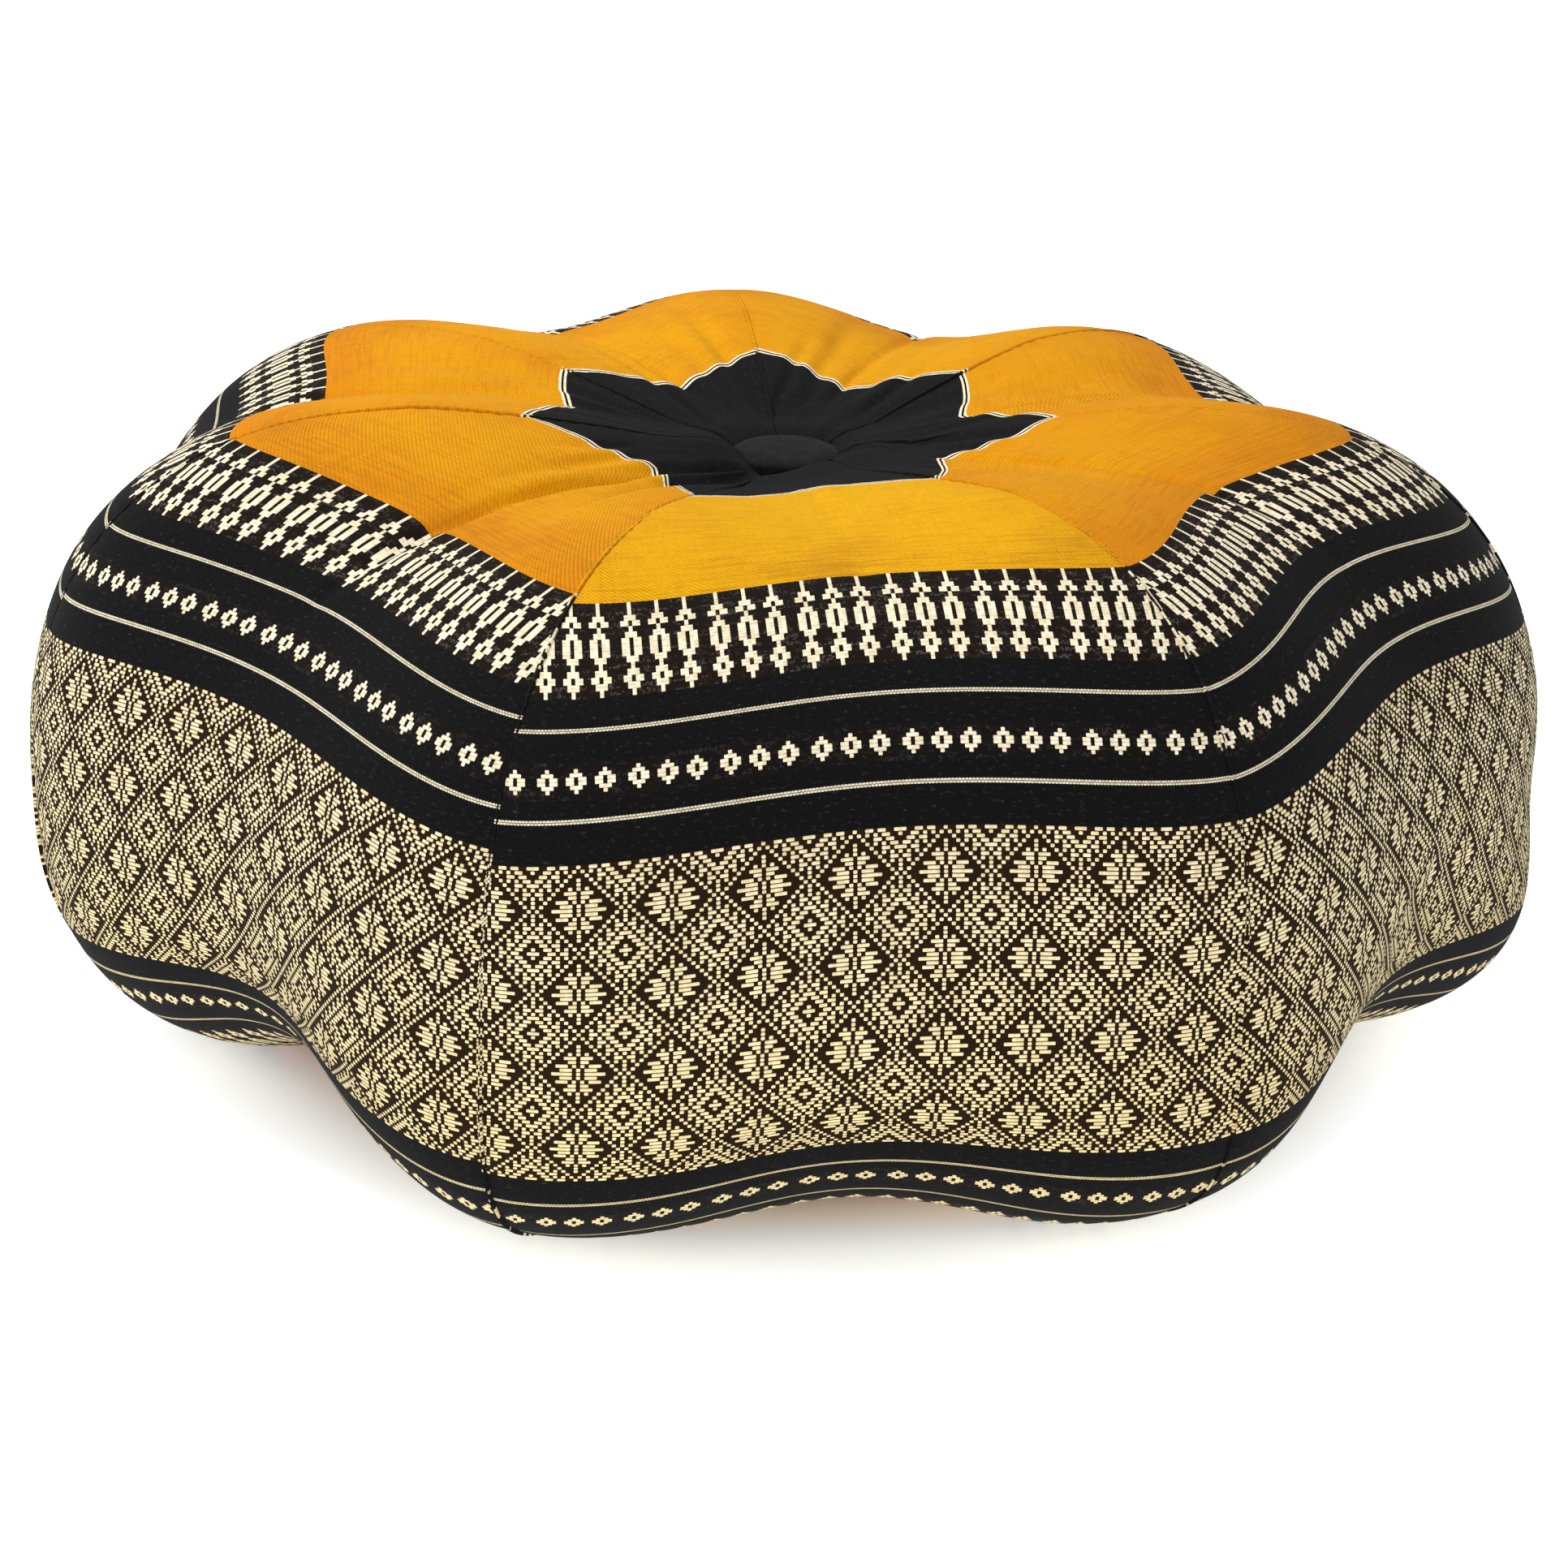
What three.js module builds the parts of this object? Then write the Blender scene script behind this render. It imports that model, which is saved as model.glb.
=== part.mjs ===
// Floor cushion with seven lobes, stuffed with kapok and pulled in by a button at each end of its axis.
//
// The cover is seven panels cut from one striped cloth. Each panel runs from the top centre over the
// side to the bottom centre, and is sewn to its neighbours along its two long edges. The seams lie on
// the crests of the lobes, and the middle line of each panel lies in the valley between two lobes.
//
// Units are millimetres and +Z is up. The floor is z = 0, and the origin is on the floor at the centre
// of the cushion's bounding box. Seven lobes have no middle that a box shares, so the axis of the
// lobes stands at AXIS_X, AXIS_Y.

import * as THREE from 'three';

// ---- the whole cushion ----
const PANELS = 7;
const AXIS_X = -4.95;
const AXIS_Y = -3.26;
const FIRST_SEAM_DEG = 251.8;

// ---- the seam's outline, from the top centre round the side to the bottom centre ----
const RADIUS = 253;
const CREST_R = 129;
const WAIST_Z = 97;
const CREST_Z = 209;
const BASE_Z = -3;
const TOP_ROUNDNESS = 2.3;
const BASE_ROUNDNESS = 2.7;
const TOP_PIT = 28;
const TOP_PIT_CURVE = 1.45;
const BASE_PIT = 28;
const BASE_PIT_CURVE = 1.5;
const BASE_PIT_R = 105;

// ---- the valleys, as depths below the seam's outline ----
const VALLEY_TOP = 10;
const VALLEY_SIDE = 23;
const VALLEY_BASE = 14;
const VALLEY_START_R = 40;
const VALLEY_FULL_R = 150;

// ---- the cloth, the stuffing and the way through for the tie ----
const CLOTH = 1.0;
const GAP = 0.3;
const HOLE_R = 4;

// ---- the buttons and the tie ----
const BUTTON_R = 18;
const BUTTON_CLOTH = 0.8;
const BUTTON_RIM = 3.2;
const BUTTON_CROWN = 3.5;
const BUTTON_OPENING_R = 8;
const BUTTON_TUCK = 0.5;
const SOCKET_R = 2.1;
const SOCKET_DEPTH = 4;
const TIE_R = 1.5;
const TIE_SIDES = 8;
const BUTTON_SIDES = 28;
const DOME_STEPS = 5;

// ---- how finely the panels are divided ----
const ACROSS = [-1, -0.8, -0.45, 0, 0.45, 0.8, 1];
const STEPS = [5, 5, 6, 5];

// ---- colours ----
const BLACK_CLOTH = new THREE.MeshStandardMaterial({ color: 0x17171a, roughness: 0.9, metalness: 0 });
const CREAM_CLOTH = new THREE.MeshStandardMaterial({ color: 0xb9a982, roughness: 0.9, metalness: 0 });
const KAPOK = new THREE.MeshStandardMaterial({ color: 0xe9dfc4, roughness: 1, metalness: 0 });
const WOOD = new THREE.MeshStandardMaterial({ color: 0x9a7444, roughness: 0.7, metalness: 0 });
const CORD = new THREE.MeshStandardMaterial({ color: 0xd8cfb8, roughness: 0.9, metalness: 0 });

const HALF_PANEL = Math.PI / PANELS;
const DERIVATIVE_STEP = 0.004;

// The height of the top of a seam at a radius inside the crest: a pit that deepens towards the axis.
function topPit(r) {
  return CREST_Z - TOP_PIT * ((CREST_R - r) / CREST_R) ** TOP_PIT_CURVE;
}

// The height of the underside of a seam at a radius inside the crest.
function basePit(r) {
  return BASE_Z + BASE_PIT * (Math.max(BASE_PIT_R - r, 0) / BASE_PIT_R) ** BASE_PIT_CURVE;
}

// The seam's outline as a point { r, z } at w from 0 to 4. It is the top pit from 0 to 1, the quarter
// of a superellipse from the crest to the waist from 1 to 2, a squarer quarter from the waist to the
// underside from 2 to 3, and the bottom pit from 3 to 4.
function seamPoint(w) {
  if (w < 1) {
    const r = HOLE_R + (CREST_R - HOLE_R) * w;
    return { r, z: topPit(r) };
  }
  if (w > 3) {
    const r = CREST_R + (HOLE_R - CREST_R) * (w - 3);
    return { r, z: basePit(r) };
  }
  const upper = w < 2;
  const angle = Math.abs(2 - w) * (Math.PI / 2);
  const power = 2 / (upper ? TOP_ROUNDNESS : BASE_ROUNDNESS);
  const rise = upper ? CREST_Z - WAIST_Z : BASE_Z - WAIST_Z;
  return {
    r: CREST_R + (RADIUS - CREST_R) * Math.cos(angle) ** power,
    z: WAIST_Z + rise * Math.sin(angle) ** power,
  };
}

// The outward direction of the seam's outline at w, as { r, z } of length one.
function seamNormal(w) {
  const before = seamPoint(w - DERIVATIVE_STEP);
  const after = seamPoint(w + DERIVATIVE_STEP);
  const dr = after.r - before.r;
  const dz = after.z - before.z;
  const length = Math.hypot(dr, dz);
  return { r: -dz / length, z: dr / length };
}

// A point of the cover's outside, before the floor flattens it, at w along a panel and s across it.
// s is -1 and 1 on the two seams and 0 in the valley. The valley's depth falls to nothing at the seams
// as a cosine squared, and fades in smoothly with the distance from the axis.
function outerPoint(panel, w, s) {
  const seam = seamPoint(w);
  const normal = seamNormal(w);
  const sideways = Math.max(normal.r, 0) ** 2;
  const flat = normal.z > 0 ? VALLEY_TOP : VALLEY_BASE;
  const fade = THREE.MathUtils.smoothstep(seam.r, VALLEY_START_R, VALLEY_FULL_R);
  const depth = (flat + (VALLEY_SIDE - flat) * sideways) * fade * Math.cos((s * Math.PI) / 2) ** 2;
  const r = seam.r - normal.r * depth;
  const azimuth = THREE.MathUtils.degToRad(FIRST_SEAM_DEG) + HALF_PANEL * (2 * panel + 1 + s);
  return new THREE.Vector3(
    AXIS_X + r * Math.cos(azimuth),
    AXIS_Y + r * Math.sin(azimuth),
    seam.z - normal.z * depth,
  );
}

// The same point moved inwards by a depth along the surface's normal, and flattened by the floor.
function layerPoint(panel, w, s, depth) {
  const step = DERIVATIVE_STEP;
  const along = outerPoint(panel, w + step, s).sub(outerPoint(panel, w - step, s));
  const across = outerPoint(panel, w, s + step).sub(outerPoint(panel, w, s - step));
  const inward = across.cross(along).normalize();
  const point = outerPoint(panel, w, s);
  point.z = Math.max(point.z, 0);
  return point.addScaledVector(inward, depth);
}

// The places along a panel where its grid has a row.
function alongPlaces() {
  const places = [];
  STEPS.forEach((count, arc) => {
    for (let i = 0; i < count; i += 1) {
      places.push(arc + i / count);
    }
  });
  places.push(STEPS.length);
  return places;
}

// A closed mesh from corner points and quads, each quad being four indices in turn.
function meshOfQuads(name, points, quads, material) {
  const geometry = new THREE.BufferGeometry();
  const positions = points.flatMap((point) => point.toArray());
  const triangles = quads.flatMap(([a, b, c, d]) => [a, b, c, a, c, d]);
  geometry.setAttribute('position', new THREE.Float32BufferAttribute(positions, 3));
  geometry.setIndex(triangles);
  geometry.computeVertexNormals();
  const mesh = new THREE.Mesh(geometry, material);
  mesh.name = name;
  return mesh;
}

// One cover panel: an outer and an inner sheet of points, joined round their edges.
function coverPanel(panel) {
  const places = alongPlaces();
  const width = ACROSS.length;
  const points = [];
  for (const depth of [0, CLOTH]) {
    for (const w of places) {
      const halfWidth = seamPoint(w).r * HALF_PANEL;
      const edge = 1 - GAP / 2 / halfWidth;
      for (const s of ACROSS) {
        points.push(layerPoint(panel, w, s * edge, depth));
      }
    }
  }
  const sheet = places.length * width;
  const at = (layer, i, j) => layer * sheet + i * width + j;
  const quads = [];
  for (let i = 0; i < places.length - 1; i += 1) {
    for (let j = 0; j < width - 1; j += 1) {
      quads.push([at(0, i, j), at(0, i + 1, j), at(0, i + 1, j + 1), at(0, i, j + 1)]);
      quads.push([at(1, i, j), at(1, i, j + 1), at(1, i + 1, j + 1), at(1, i + 1, j)]);
    }
    quads.push([at(0, i, 0), at(1, i, 0), at(1, i + 1, 0), at(0, i + 1, 0)]);
    quads.push([at(0, i, width - 1), at(0, i + 1, width - 1), at(1, i + 1, width - 1), at(1, i, width - 1)]);
  }
  const last = places.length - 1;
  for (let j = 0; j < width - 1; j += 1) {
    quads.push([at(0, 0, j), at(0, 0, j + 1), at(1, 0, j + 1), at(1, 0, j)]);
    quads.push([at(0, last, j), at(1, last, j), at(1, last, j + 1), at(0, last, j + 1)]);
  }
  return meshOfQuads(`cover_panel_${panel + 1}`, points, quads, CREAM_CLOTH);
}

// The kapok: one body just inside all the panels, with a way through on the axis for the tie.
function kapokFilling() {
  const places = alongPlaces();
  const shared = ACROSS.slice(0, -1);
  const width = shared.length * PANELS;
  const points = [];
  for (const w of places) {
    for (let panel = 0; panel < PANELS; panel += 1) {
      for (const s of shared) {
        points.push(layerPoint(panel, w, s, CLOTH + GAP));
      }
    }
  }
  const rows = places.length;
  const at = (i, j) => (i % rows) * width + (j % width);
  const quads = [];
  for (let i = 0; i < rows; i += 1) {
    for (let j = 0; j < width; j += 1) {
      quads.push([at(i, j), at(i + 1, j), at(i + 1, j + 1), at(i, j + 1)]);
    }
  }
  return meshOfQuads('kapok_filling', points, quads, KAPOK);
}

// A solid turned about the lobes' axis from a profile of [radius, height] pairs. The profile runs from
// the axis at the top, down the outside, and back to the axis.
function turned(name, profile, sides, material) {
  const points = profile.map(([r, z]) => new THREE.Vector2(r, z)).reverse();
  const geometry = new THREE.LatheGeometry(points, sides);
  geometry.rotateX(Math.PI / 2);
  const mesh = new THREE.Mesh(geometry, material);
  mesh.name = name;
  mesh.position.set(AXIS_X, AXIS_Y, 0);
  return mesh;
}

// The dome of a button from its top centre to its rim, shrunk by an inset.
function buttonDome(rimZ, up, inset) {
  const radius = BUTTON_R - inset;
  const rise = BUTTON_CROWN - inset;
  const profile = [];
  for (let i = 0; i <= DOME_STEPS; i += 1) {
    const angle = (i / DOME_STEPS) * (Math.PI / 2);
    profile.push([radius * Math.sin(angle), rimZ + up * rise * Math.cos(angle)]);
  }
  return profile;
}

// A button's cloth and core at one end of the axis. seat gives the cover's height under the button,
// and up is 1 on top and -1 underneath.
function button(end, seat, up) {
  const under = (r, lift) => seat(r) + up * lift;
  const rimZ = under(BUTTON_R, GAP + BUTTON_RIM);
  const coreInset = BUTTON_CLOTH + GAP;
  const wrapR = BUTTON_R - BUTTON_TUCK;
  const skin = [
    ...buttonDome(rimZ, up, 0),
    [wrapR, under(wrapR, GAP)],
    [BUTTON_OPENING_R, under(BUTTON_OPENING_R, GAP)],
    [BUTTON_OPENING_R, under(BUTTON_OPENING_R, GAP + BUTTON_CLOTH)],
    [wrapR - BUTTON_CLOTH, under(wrapR - BUTTON_CLOTH, GAP + BUTTON_CLOTH)],
    ...buttonDome(rimZ, up, BUTTON_CLOTH).reverse(),
  ];
  const coreR = wrapR - coreInset;
  const coreUnder = GAP + coreInset;
  const core = [
    ...buttonDome(rimZ, up, coreInset),
    [coreR, under(coreR, coreUnder)],
    [SOCKET_R, under(SOCKET_R, coreUnder)],
    [SOCKET_R, under(SOCKET_R, coreUnder + SOCKET_DEPTH)],
    [0, under(SOCKET_R, coreUnder + SOCKET_DEPTH)],
  ];
  const ordered = (profile) => (up > 0 ? profile : [...profile].reverse());
  return [
    turned(`${end}_button_cloth`, ordered(skin), BUTTON_SIDES, BLACK_CLOTH),
    turned(`${end}_button_core`, ordered(core), BUTTON_SIDES, WOOD),
  ];
}

// The tie: a cord along the axis from the socket in the lower button to the socket in the upper one.
function tieCord() {
  const inset = BUTTON_CLOTH + 2 * GAP + SOCKET_DEPTH - GAP;
  const top = topPit(SOCKET_R) + inset;
  const bottom = basePit(SOCKET_R) - inset;
  const geometry = new THREE.CylinderGeometry(TIE_R, TIE_R, top - bottom, TIE_SIDES);
  geometry.rotateX(Math.PI / 2);
  const mesh = new THREE.Mesh(geometry, CORD);
  mesh.name = 'tie_cord';
  mesh.position.set(AXIS_X, AXIS_Y, (top + bottom) / 2);
  return mesh;
}

const cushion = new THREE.Group();
for (let panel = 0; panel < PANELS; panel += 1) {
  cushion.add(coverPanel(panel));
}
cushion.add(kapokFilling());
cushion.add(...button('top', topPit, 1));
cushion.add(...button('bottom', basePit, -1));
cushion.add(tieCord());

export default cushion;
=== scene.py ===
"""Floor cushion with seven lobes: striped woven panels over kapok, pulled in by two covered buttons.

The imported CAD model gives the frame, in metres: +Z is up and the floor is z = 0. The cover is seven
panels cut from one figured cloth. Each panel runs from the top centre over the side to the bottom
centre. Its seams lie on the crests of two lobes, and its middle line lies in the valley between them.
"""

import math

import bpy
import numpy as np
from bpy.props import FloatProperty, FloatVectorProperty, IntProperty, PointerProperty
from bpy.types import Operator, Panel, PropertyGroup
from mathutils import Matrix, Vector


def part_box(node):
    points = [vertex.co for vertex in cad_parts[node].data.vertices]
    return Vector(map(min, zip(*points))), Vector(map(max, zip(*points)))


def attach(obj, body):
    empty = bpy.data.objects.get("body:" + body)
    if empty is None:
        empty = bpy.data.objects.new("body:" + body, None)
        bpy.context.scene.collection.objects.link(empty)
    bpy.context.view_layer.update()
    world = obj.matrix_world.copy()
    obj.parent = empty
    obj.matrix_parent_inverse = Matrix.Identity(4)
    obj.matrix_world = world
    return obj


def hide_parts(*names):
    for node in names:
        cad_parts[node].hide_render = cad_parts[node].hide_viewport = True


bl_info = {
    "name": "Lobed Floor Cushion",
    "version": (1, 0, 0),
    "blender": (4, 5, 0),
    "location": "View3D > Sidebar > Cushion",
    "description": "Builds a lobed floor cushion in figured cloth around its CAD frame",
    "category": "Add Mesh",
}

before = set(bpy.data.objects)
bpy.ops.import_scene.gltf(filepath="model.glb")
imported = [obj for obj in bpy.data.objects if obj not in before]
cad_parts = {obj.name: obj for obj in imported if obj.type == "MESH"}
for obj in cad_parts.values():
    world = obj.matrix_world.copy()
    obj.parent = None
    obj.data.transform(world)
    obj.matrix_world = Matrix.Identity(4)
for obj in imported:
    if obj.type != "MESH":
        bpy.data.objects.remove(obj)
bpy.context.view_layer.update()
BODY = "root"
PANELS = 7
MM = 0.001
# The cover's shifts from the cloth simulation, kept between the stuffing and the cover.
SETTLED = []


def cad_axis(node):
    """The middle of a CAD node's box in X and Y, which is the axis of the lobes for both buttons."""
    low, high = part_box(node)
    return (low + high) / 2


AXIS = cad_axis("top_button_cloth")

# ---------------------------------------------------------------------------------------------
# Drafts. A row is one pick of the figuring weft, read outwards from a motif's middle thread. An X is
# a thread that the weft floats over, so that it shows cream.
# ---------------------------------------------------------------------------------------------

# From the row through the middle of a flower to the row through the middle of a diamond.
BROCADE_DRAFT = (
    "X.XXXXX...X.",
    "X.XXX....X.X",
    ".X.XXX..X..X",
    ".XX....X.X.X",
    ".XXX..X..XX.",
    "X.X..X.X.X.X",
    "X...X..XX.XX",
    "X..X.X.X.XX.",
    "..X..XX.XX..",
    ".X.X.X.XX..X",
    "X..XX.XX..XX",
)
PIP = ("X...", "X...")
BODY_ROWS = ("XX..", "XX..")
EYE = (".XX.", ".XX.")
# From the edge of the plain orange band outwards.
SPINDLE_DRAFT = (
    ("X...",) * 5 + BODY_ROWS + EYE + PIP + BODY_ROWS + EYE * 3 + BODY_ROWS + PIP + BODY_ROWS + EYE
    + BODY_ROWS + PIP
)
DIAMOND_DRAFT = ("X...", "XX..", ".XX.", ".XX.", "XX..", "X...")

# Where each band starts or lies, in picks from the equator. The underside repeats the top.
BROCADE_END = 40.5
INNER_LINE = 50.5
DIAMONDS_START = 57.0
OUTER_LINE = 72.5
SPINDLES_START = 81.0
ORANGE_START = 112.0
STAR_LINES_START = 192.0
STAR_LINES_END = 194.3


# Heights and widths of the cloth's small relief, in metres.
LUMP = 0.0016
SEAM_DIP = 0.0004
SEAM_DIP_REACH = 0.004
PUCKER = 0.00028
PUCKER_REACH = 0.0045
COLLAR = 0.0032
COLLAR_RADIUS = 0.027
COLLAR_WIDTH = 0.012
FLOAT_RELIEF = 0.00034


# ---------------------------------------------------------------------------------------------
# Properties
# ---------------------------------------------------------------------------------------------

def length(name, description, default):
    """A FloatProperty in metres."""
    return FloatProperty(name=name, description=description, default=default, unit="LENGTH", precision=5)


def colour(name, description, default):
    """A FloatVectorProperty that holds a colour."""
    return FloatVectorProperty(
        name=name, description=description, default=default, size=3, subtype="COLOR", min=0, max=1
    )


def ratio(name, description, default):
    """A plain FloatProperty."""
    return FloatProperty(name=name, description=description, default=default, precision=4)


def per_lobe(name, description, default):
    """One number for each panel or seam, counted round from the front."""
    return FloatVectorProperty(name=name, description=description, default=default, size=PANELS)


class CushionShape(PropertyGroup):
    """The sizes of the stuffed cover."""

    radius: length("Radius", "From the axis to the widest point of a seam", 0.2535)
    crest_radius: length("Crest radius", "From the axis to the highest point of a seam", 0.1287)
    waist_height: length("Waist height", "Height of the widest point of a seam", 0.0977)
    crest_height: length("Crest height", "Height of the highest point of a seam", 0.2092)
    base_height: length("Base height", "Lowest point of a seam before the floor flattens it", -0.003)
    top_roundness: ratio("Top roundness", "Power of the superellipse above the waist", 2.305)
    base_roundness: ratio("Base roundness", "Power of the superellipse below the waist", 2.63)
    top_pit: length("Top pit", "Depth of the pit under the top button", 0.0282)
    top_pit_curve: ratio("Top pit curve", "How the top pit steepens towards the axis", 1.43)
    base_pit: length("Base pit", "Depth of the pit over the bottom button", 0.028)
    base_pit_curve: ratio("Base pit curve", "How the bottom pit steepens towards the axis", 1.5)
    base_pit_radius: length("Base pit radius", "Where the bottom pit starts", 0.105)
    valley_top: length("Valley depth on top", "Depth of the valleys on the top", 0.0101)
    valley_side: length("Valley depth at the side", "Depth of the valleys at the waist", 0.0229)
    valley_base: length("Valley depth underneath", "Depth of the valleys on the underside", 0.0147)
    valley_start: length("Valley start", "Distance from the axis where the valleys fade in", 0.040)
    valley_full: length("Valley full", "Distance from the axis where the valleys are full", 0.150)
    hole_radius: length("Hole radius", "Opening round the tie, hidden by the button", 0.004)
    valley_share: per_lobe(
        "Valley share", "Depth of each panel's valley against the mean",
        (0.57, 0.73, 0.96, 1.17, 1.03, 0.96, 1.10),
    )
    base_share: per_lobe(
        "Base valley share", "Depth of each panel's valley underneath against the mean",
        (1.05, 1.60, 1.10, 1.10, 1.10, 1.10, 1.60),
    )
    base_reach: per_lobe(
        "Base reach", "How far each seam stands out beyond the mean at the floor, as a share of its radius",
        (0.025, 0.045, 0.065, 0.020, 0.0, 0.0, -0.020),
    )
    crease_depth: per_lobe(
        "Crease depth", "Millimetres that the fold down the middle of each panel's valley sinks on top",
        (0.5, 2.2, 2.4, 2.3, 2.2, 2.0, 4.3),
    )
    lift_start: length("Lift start", "Height above which the seams' lift acts", 0.0899)
    seam_lift: per_lobe(
        "Seam lift", "How far each seam rises above the mean, as a share of the height over the start",
        (-0.021, 0.022, 0.030, -0.008, -0.017, -0.001, 0.049),
    )
    seam_reach: per_lobe(
        "Seam reach", "How far each seam stands out beyond the mean, as a share of its radius",
        (0.010, -0.012, 0.014, -0.009, -0.005, 0.014, -0.002),
    )
    seam_turn: per_lobe(
        "Seam turn", "How far each seam stands round from its even place, in degrees",
        (0.06, -0.29, 0.44, -0.10, 0.12, 0.22, -0.93),
    )
    first_seam: ratio("First seam", "Direction of the front left seam, in degrees from +X", 251.9)
    most_shift: length("Most shift", "Furthest that the stuffing's push moves the cover", 0.0035)
    thickness: length("Cloth thickness", "Thickness of the cover's cloth", 0.0006)
    allowance: length("Seam allowance", "Cloth turned in at each seam", 0.007)
    seam_round: length("Seam rounding", "Radius of the cloth's turn into a seam", 0.0008)
    seam_gap: length("Seam gap", "Clear space between two panels' allowances", 0.0002)
    rows: IntProperty(name="Rows", description="Grid rows along a panel", default=320, min=40)
    columns: IntProperty(name="Columns", description="Grid columns across a panel", default=122, min=12)


class CushionCloth(PropertyGroup):
    """The pitch of the cloth's threads and the colours of its bands."""

    column_pitch: length("Column pitch", "Width of one column of the figure", 0.001155)
    pick_pitch: length("Pick pitch", "Spacing of the figuring weft", 0.001187)
    cut_shift: per_lobe(
        "Cut shift", "Columns by which each panel is cut off the middle of a motif",
        (6.6, 0.0, 0.0, 4.0, -6.0, 3.0, 0.0),
    )
    equator: length("Equator", "Way from the top hole to the middle of the brocade, along a seam", 0.3167)
    stripe_shift: per_lobe(
        "Stripe shift", "Millimetres by which each panel's stripes sit above their neighbours'",
        (-1.9, 0.2, 0.8, -1.4, 1.0, -0.6, 0.2),
    )
    stripe_slant: per_lobe(
        "Stripe slant", "Millimetres by which each panel's stripes rise from its middle to its next seam",
        (1.9, 0.4, -0.8, 0.5, 0.8, -0.7, 0.2),
    )
    valley_pull: per_lobe(
        "Valley pull", "Millimetres by which each valley draws the stripes towards the button",
        (25.5, 33.5, 30.0, 28.0, 30.0, 32.0, 33.5),
    )
    star_pull: per_lobe(
        "Star pull", "Millimetres by which each valley draws the star's edge towards the button",
        (26.0, 31.0, 25.0, 20.0, 21.0, 18.0, 30.0),
    )
    cream: colour("Cream", "Figuring weft", (0.90, 0.76, 0.49))
    ivory: colour("Ivory", "Paler weft of the bands above and below the brocade", (0.97, 0.90, 0.72))
    # Painted shade: straw is the cream as it looks in shade low on the sides. A darker share of it also
    # gives the strands random tone.
    straw: colour("Straw", "Yellower weft low on the sides", (0.90, 0.70, 0.33))
    black: colour("Black", "Ground cloth", (0.0050, 0.0047, 0.0047))
    umber: colour("Umber", "Brown cast of the black ground where the figuring weft lies under it",
                  (0.017, 0.0080, 0.0030))
    star_black: colour("Star black", "Plain cloth round the buttons", (0.0070, 0.0066, 0.0068))
    orange: colour("Orange", "Plain band", (0.80, 0.42, 0.003))
    amber: colour("Amber", "Warmer parts of the plain band", (0.70, 0.235, 0.003))
    # Painted shot sheen: each panel's amber share stands for the colour that the shot cloth shows at its
    # angle to the camera. The front panel has almost none.
    warmth: per_lobe(
        "Warmth", "Share of amber in each panel's plain band, whose warp and weft differ",
        (0.04, 0.58, 0.55, 0.42, 0.45, 0.55, 0.50),
    )
    # Bronze also paints shade in the plain band, beside the seams and towards its outer edge.
    bronze: colour("Bronze", "Dark ends between the orange picks", (0.30, 0.13, 0.008))
    lint: colour("Lint", "Loose fibres on the black cloth", (0.10, 0.10, 0.11))


class CushionTrim(PropertyGroup):
    """The tie's sizes and the hidden finishes."""

    strands: IntProperty(name="Strands", description="Strands laid up into the tie", default=3, min=2)
    lay: length("Lay", "Length of one turn of the tie's strands", 0.009)
    kapok: colour("Kapok", "Stuffing", (0.78, 0.70, 0.52))
    wood: colour("Wood", "Button core", (0.36, 0.19, 0.075))
    twine: colour("Twine", "Tie", (0.62, 0.56, 0.43))


class CushionStudio(PropertyGroup):
    """The camera and the lights."""

    distance: length("Camera distance", "From the lens to the middle of the cushion", 1.140)
    elevation: ratio("Camera elevation", "Degrees above the level", 21.606)
    roll: ratio("Camera roll", "Degrees that the camera leans", 1.827)
    aim_height: length("Aim height", "Height of the point on the axis that the camera looks at", 0.0899)
    lens: ratio("Lens", "Focal length in millimetres on a 36 mm sensor", 76.02)
    shift_x: ratio("Shift X", "Sideways shift of the frame", 0.0047)
    shift_y: ratio("Shift Y", "Upward shift of the frame", -0.0328)
    sky: ratio("Sky", "Strength of the white surroundings", 0.52)
    key: ratio("Key", "Power of the lamp overhead, in watts", 19.0)
    fill: ratio("Fill", "Power of the lamp in front, in watts", 24.0)
    # Painted light: the floor glows of its own, except under the cushion, where the lack of glow paints a
    # contact shadow.
    glow: ratio("Floor glow", "Light that the white floor gives of its own", 0.74)


# ---------------------------------------------------------------------------------------------
# Shape
# ---------------------------------------------------------------------------------------------

def smoothstep(low, high, value):
    """0 below low, 1 above high, and 3t² - 2t³ between them."""
    t = np.clip((value - low) / (high - low), 0, 1)
    return t * t * (3 - 2 * t)


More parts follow.
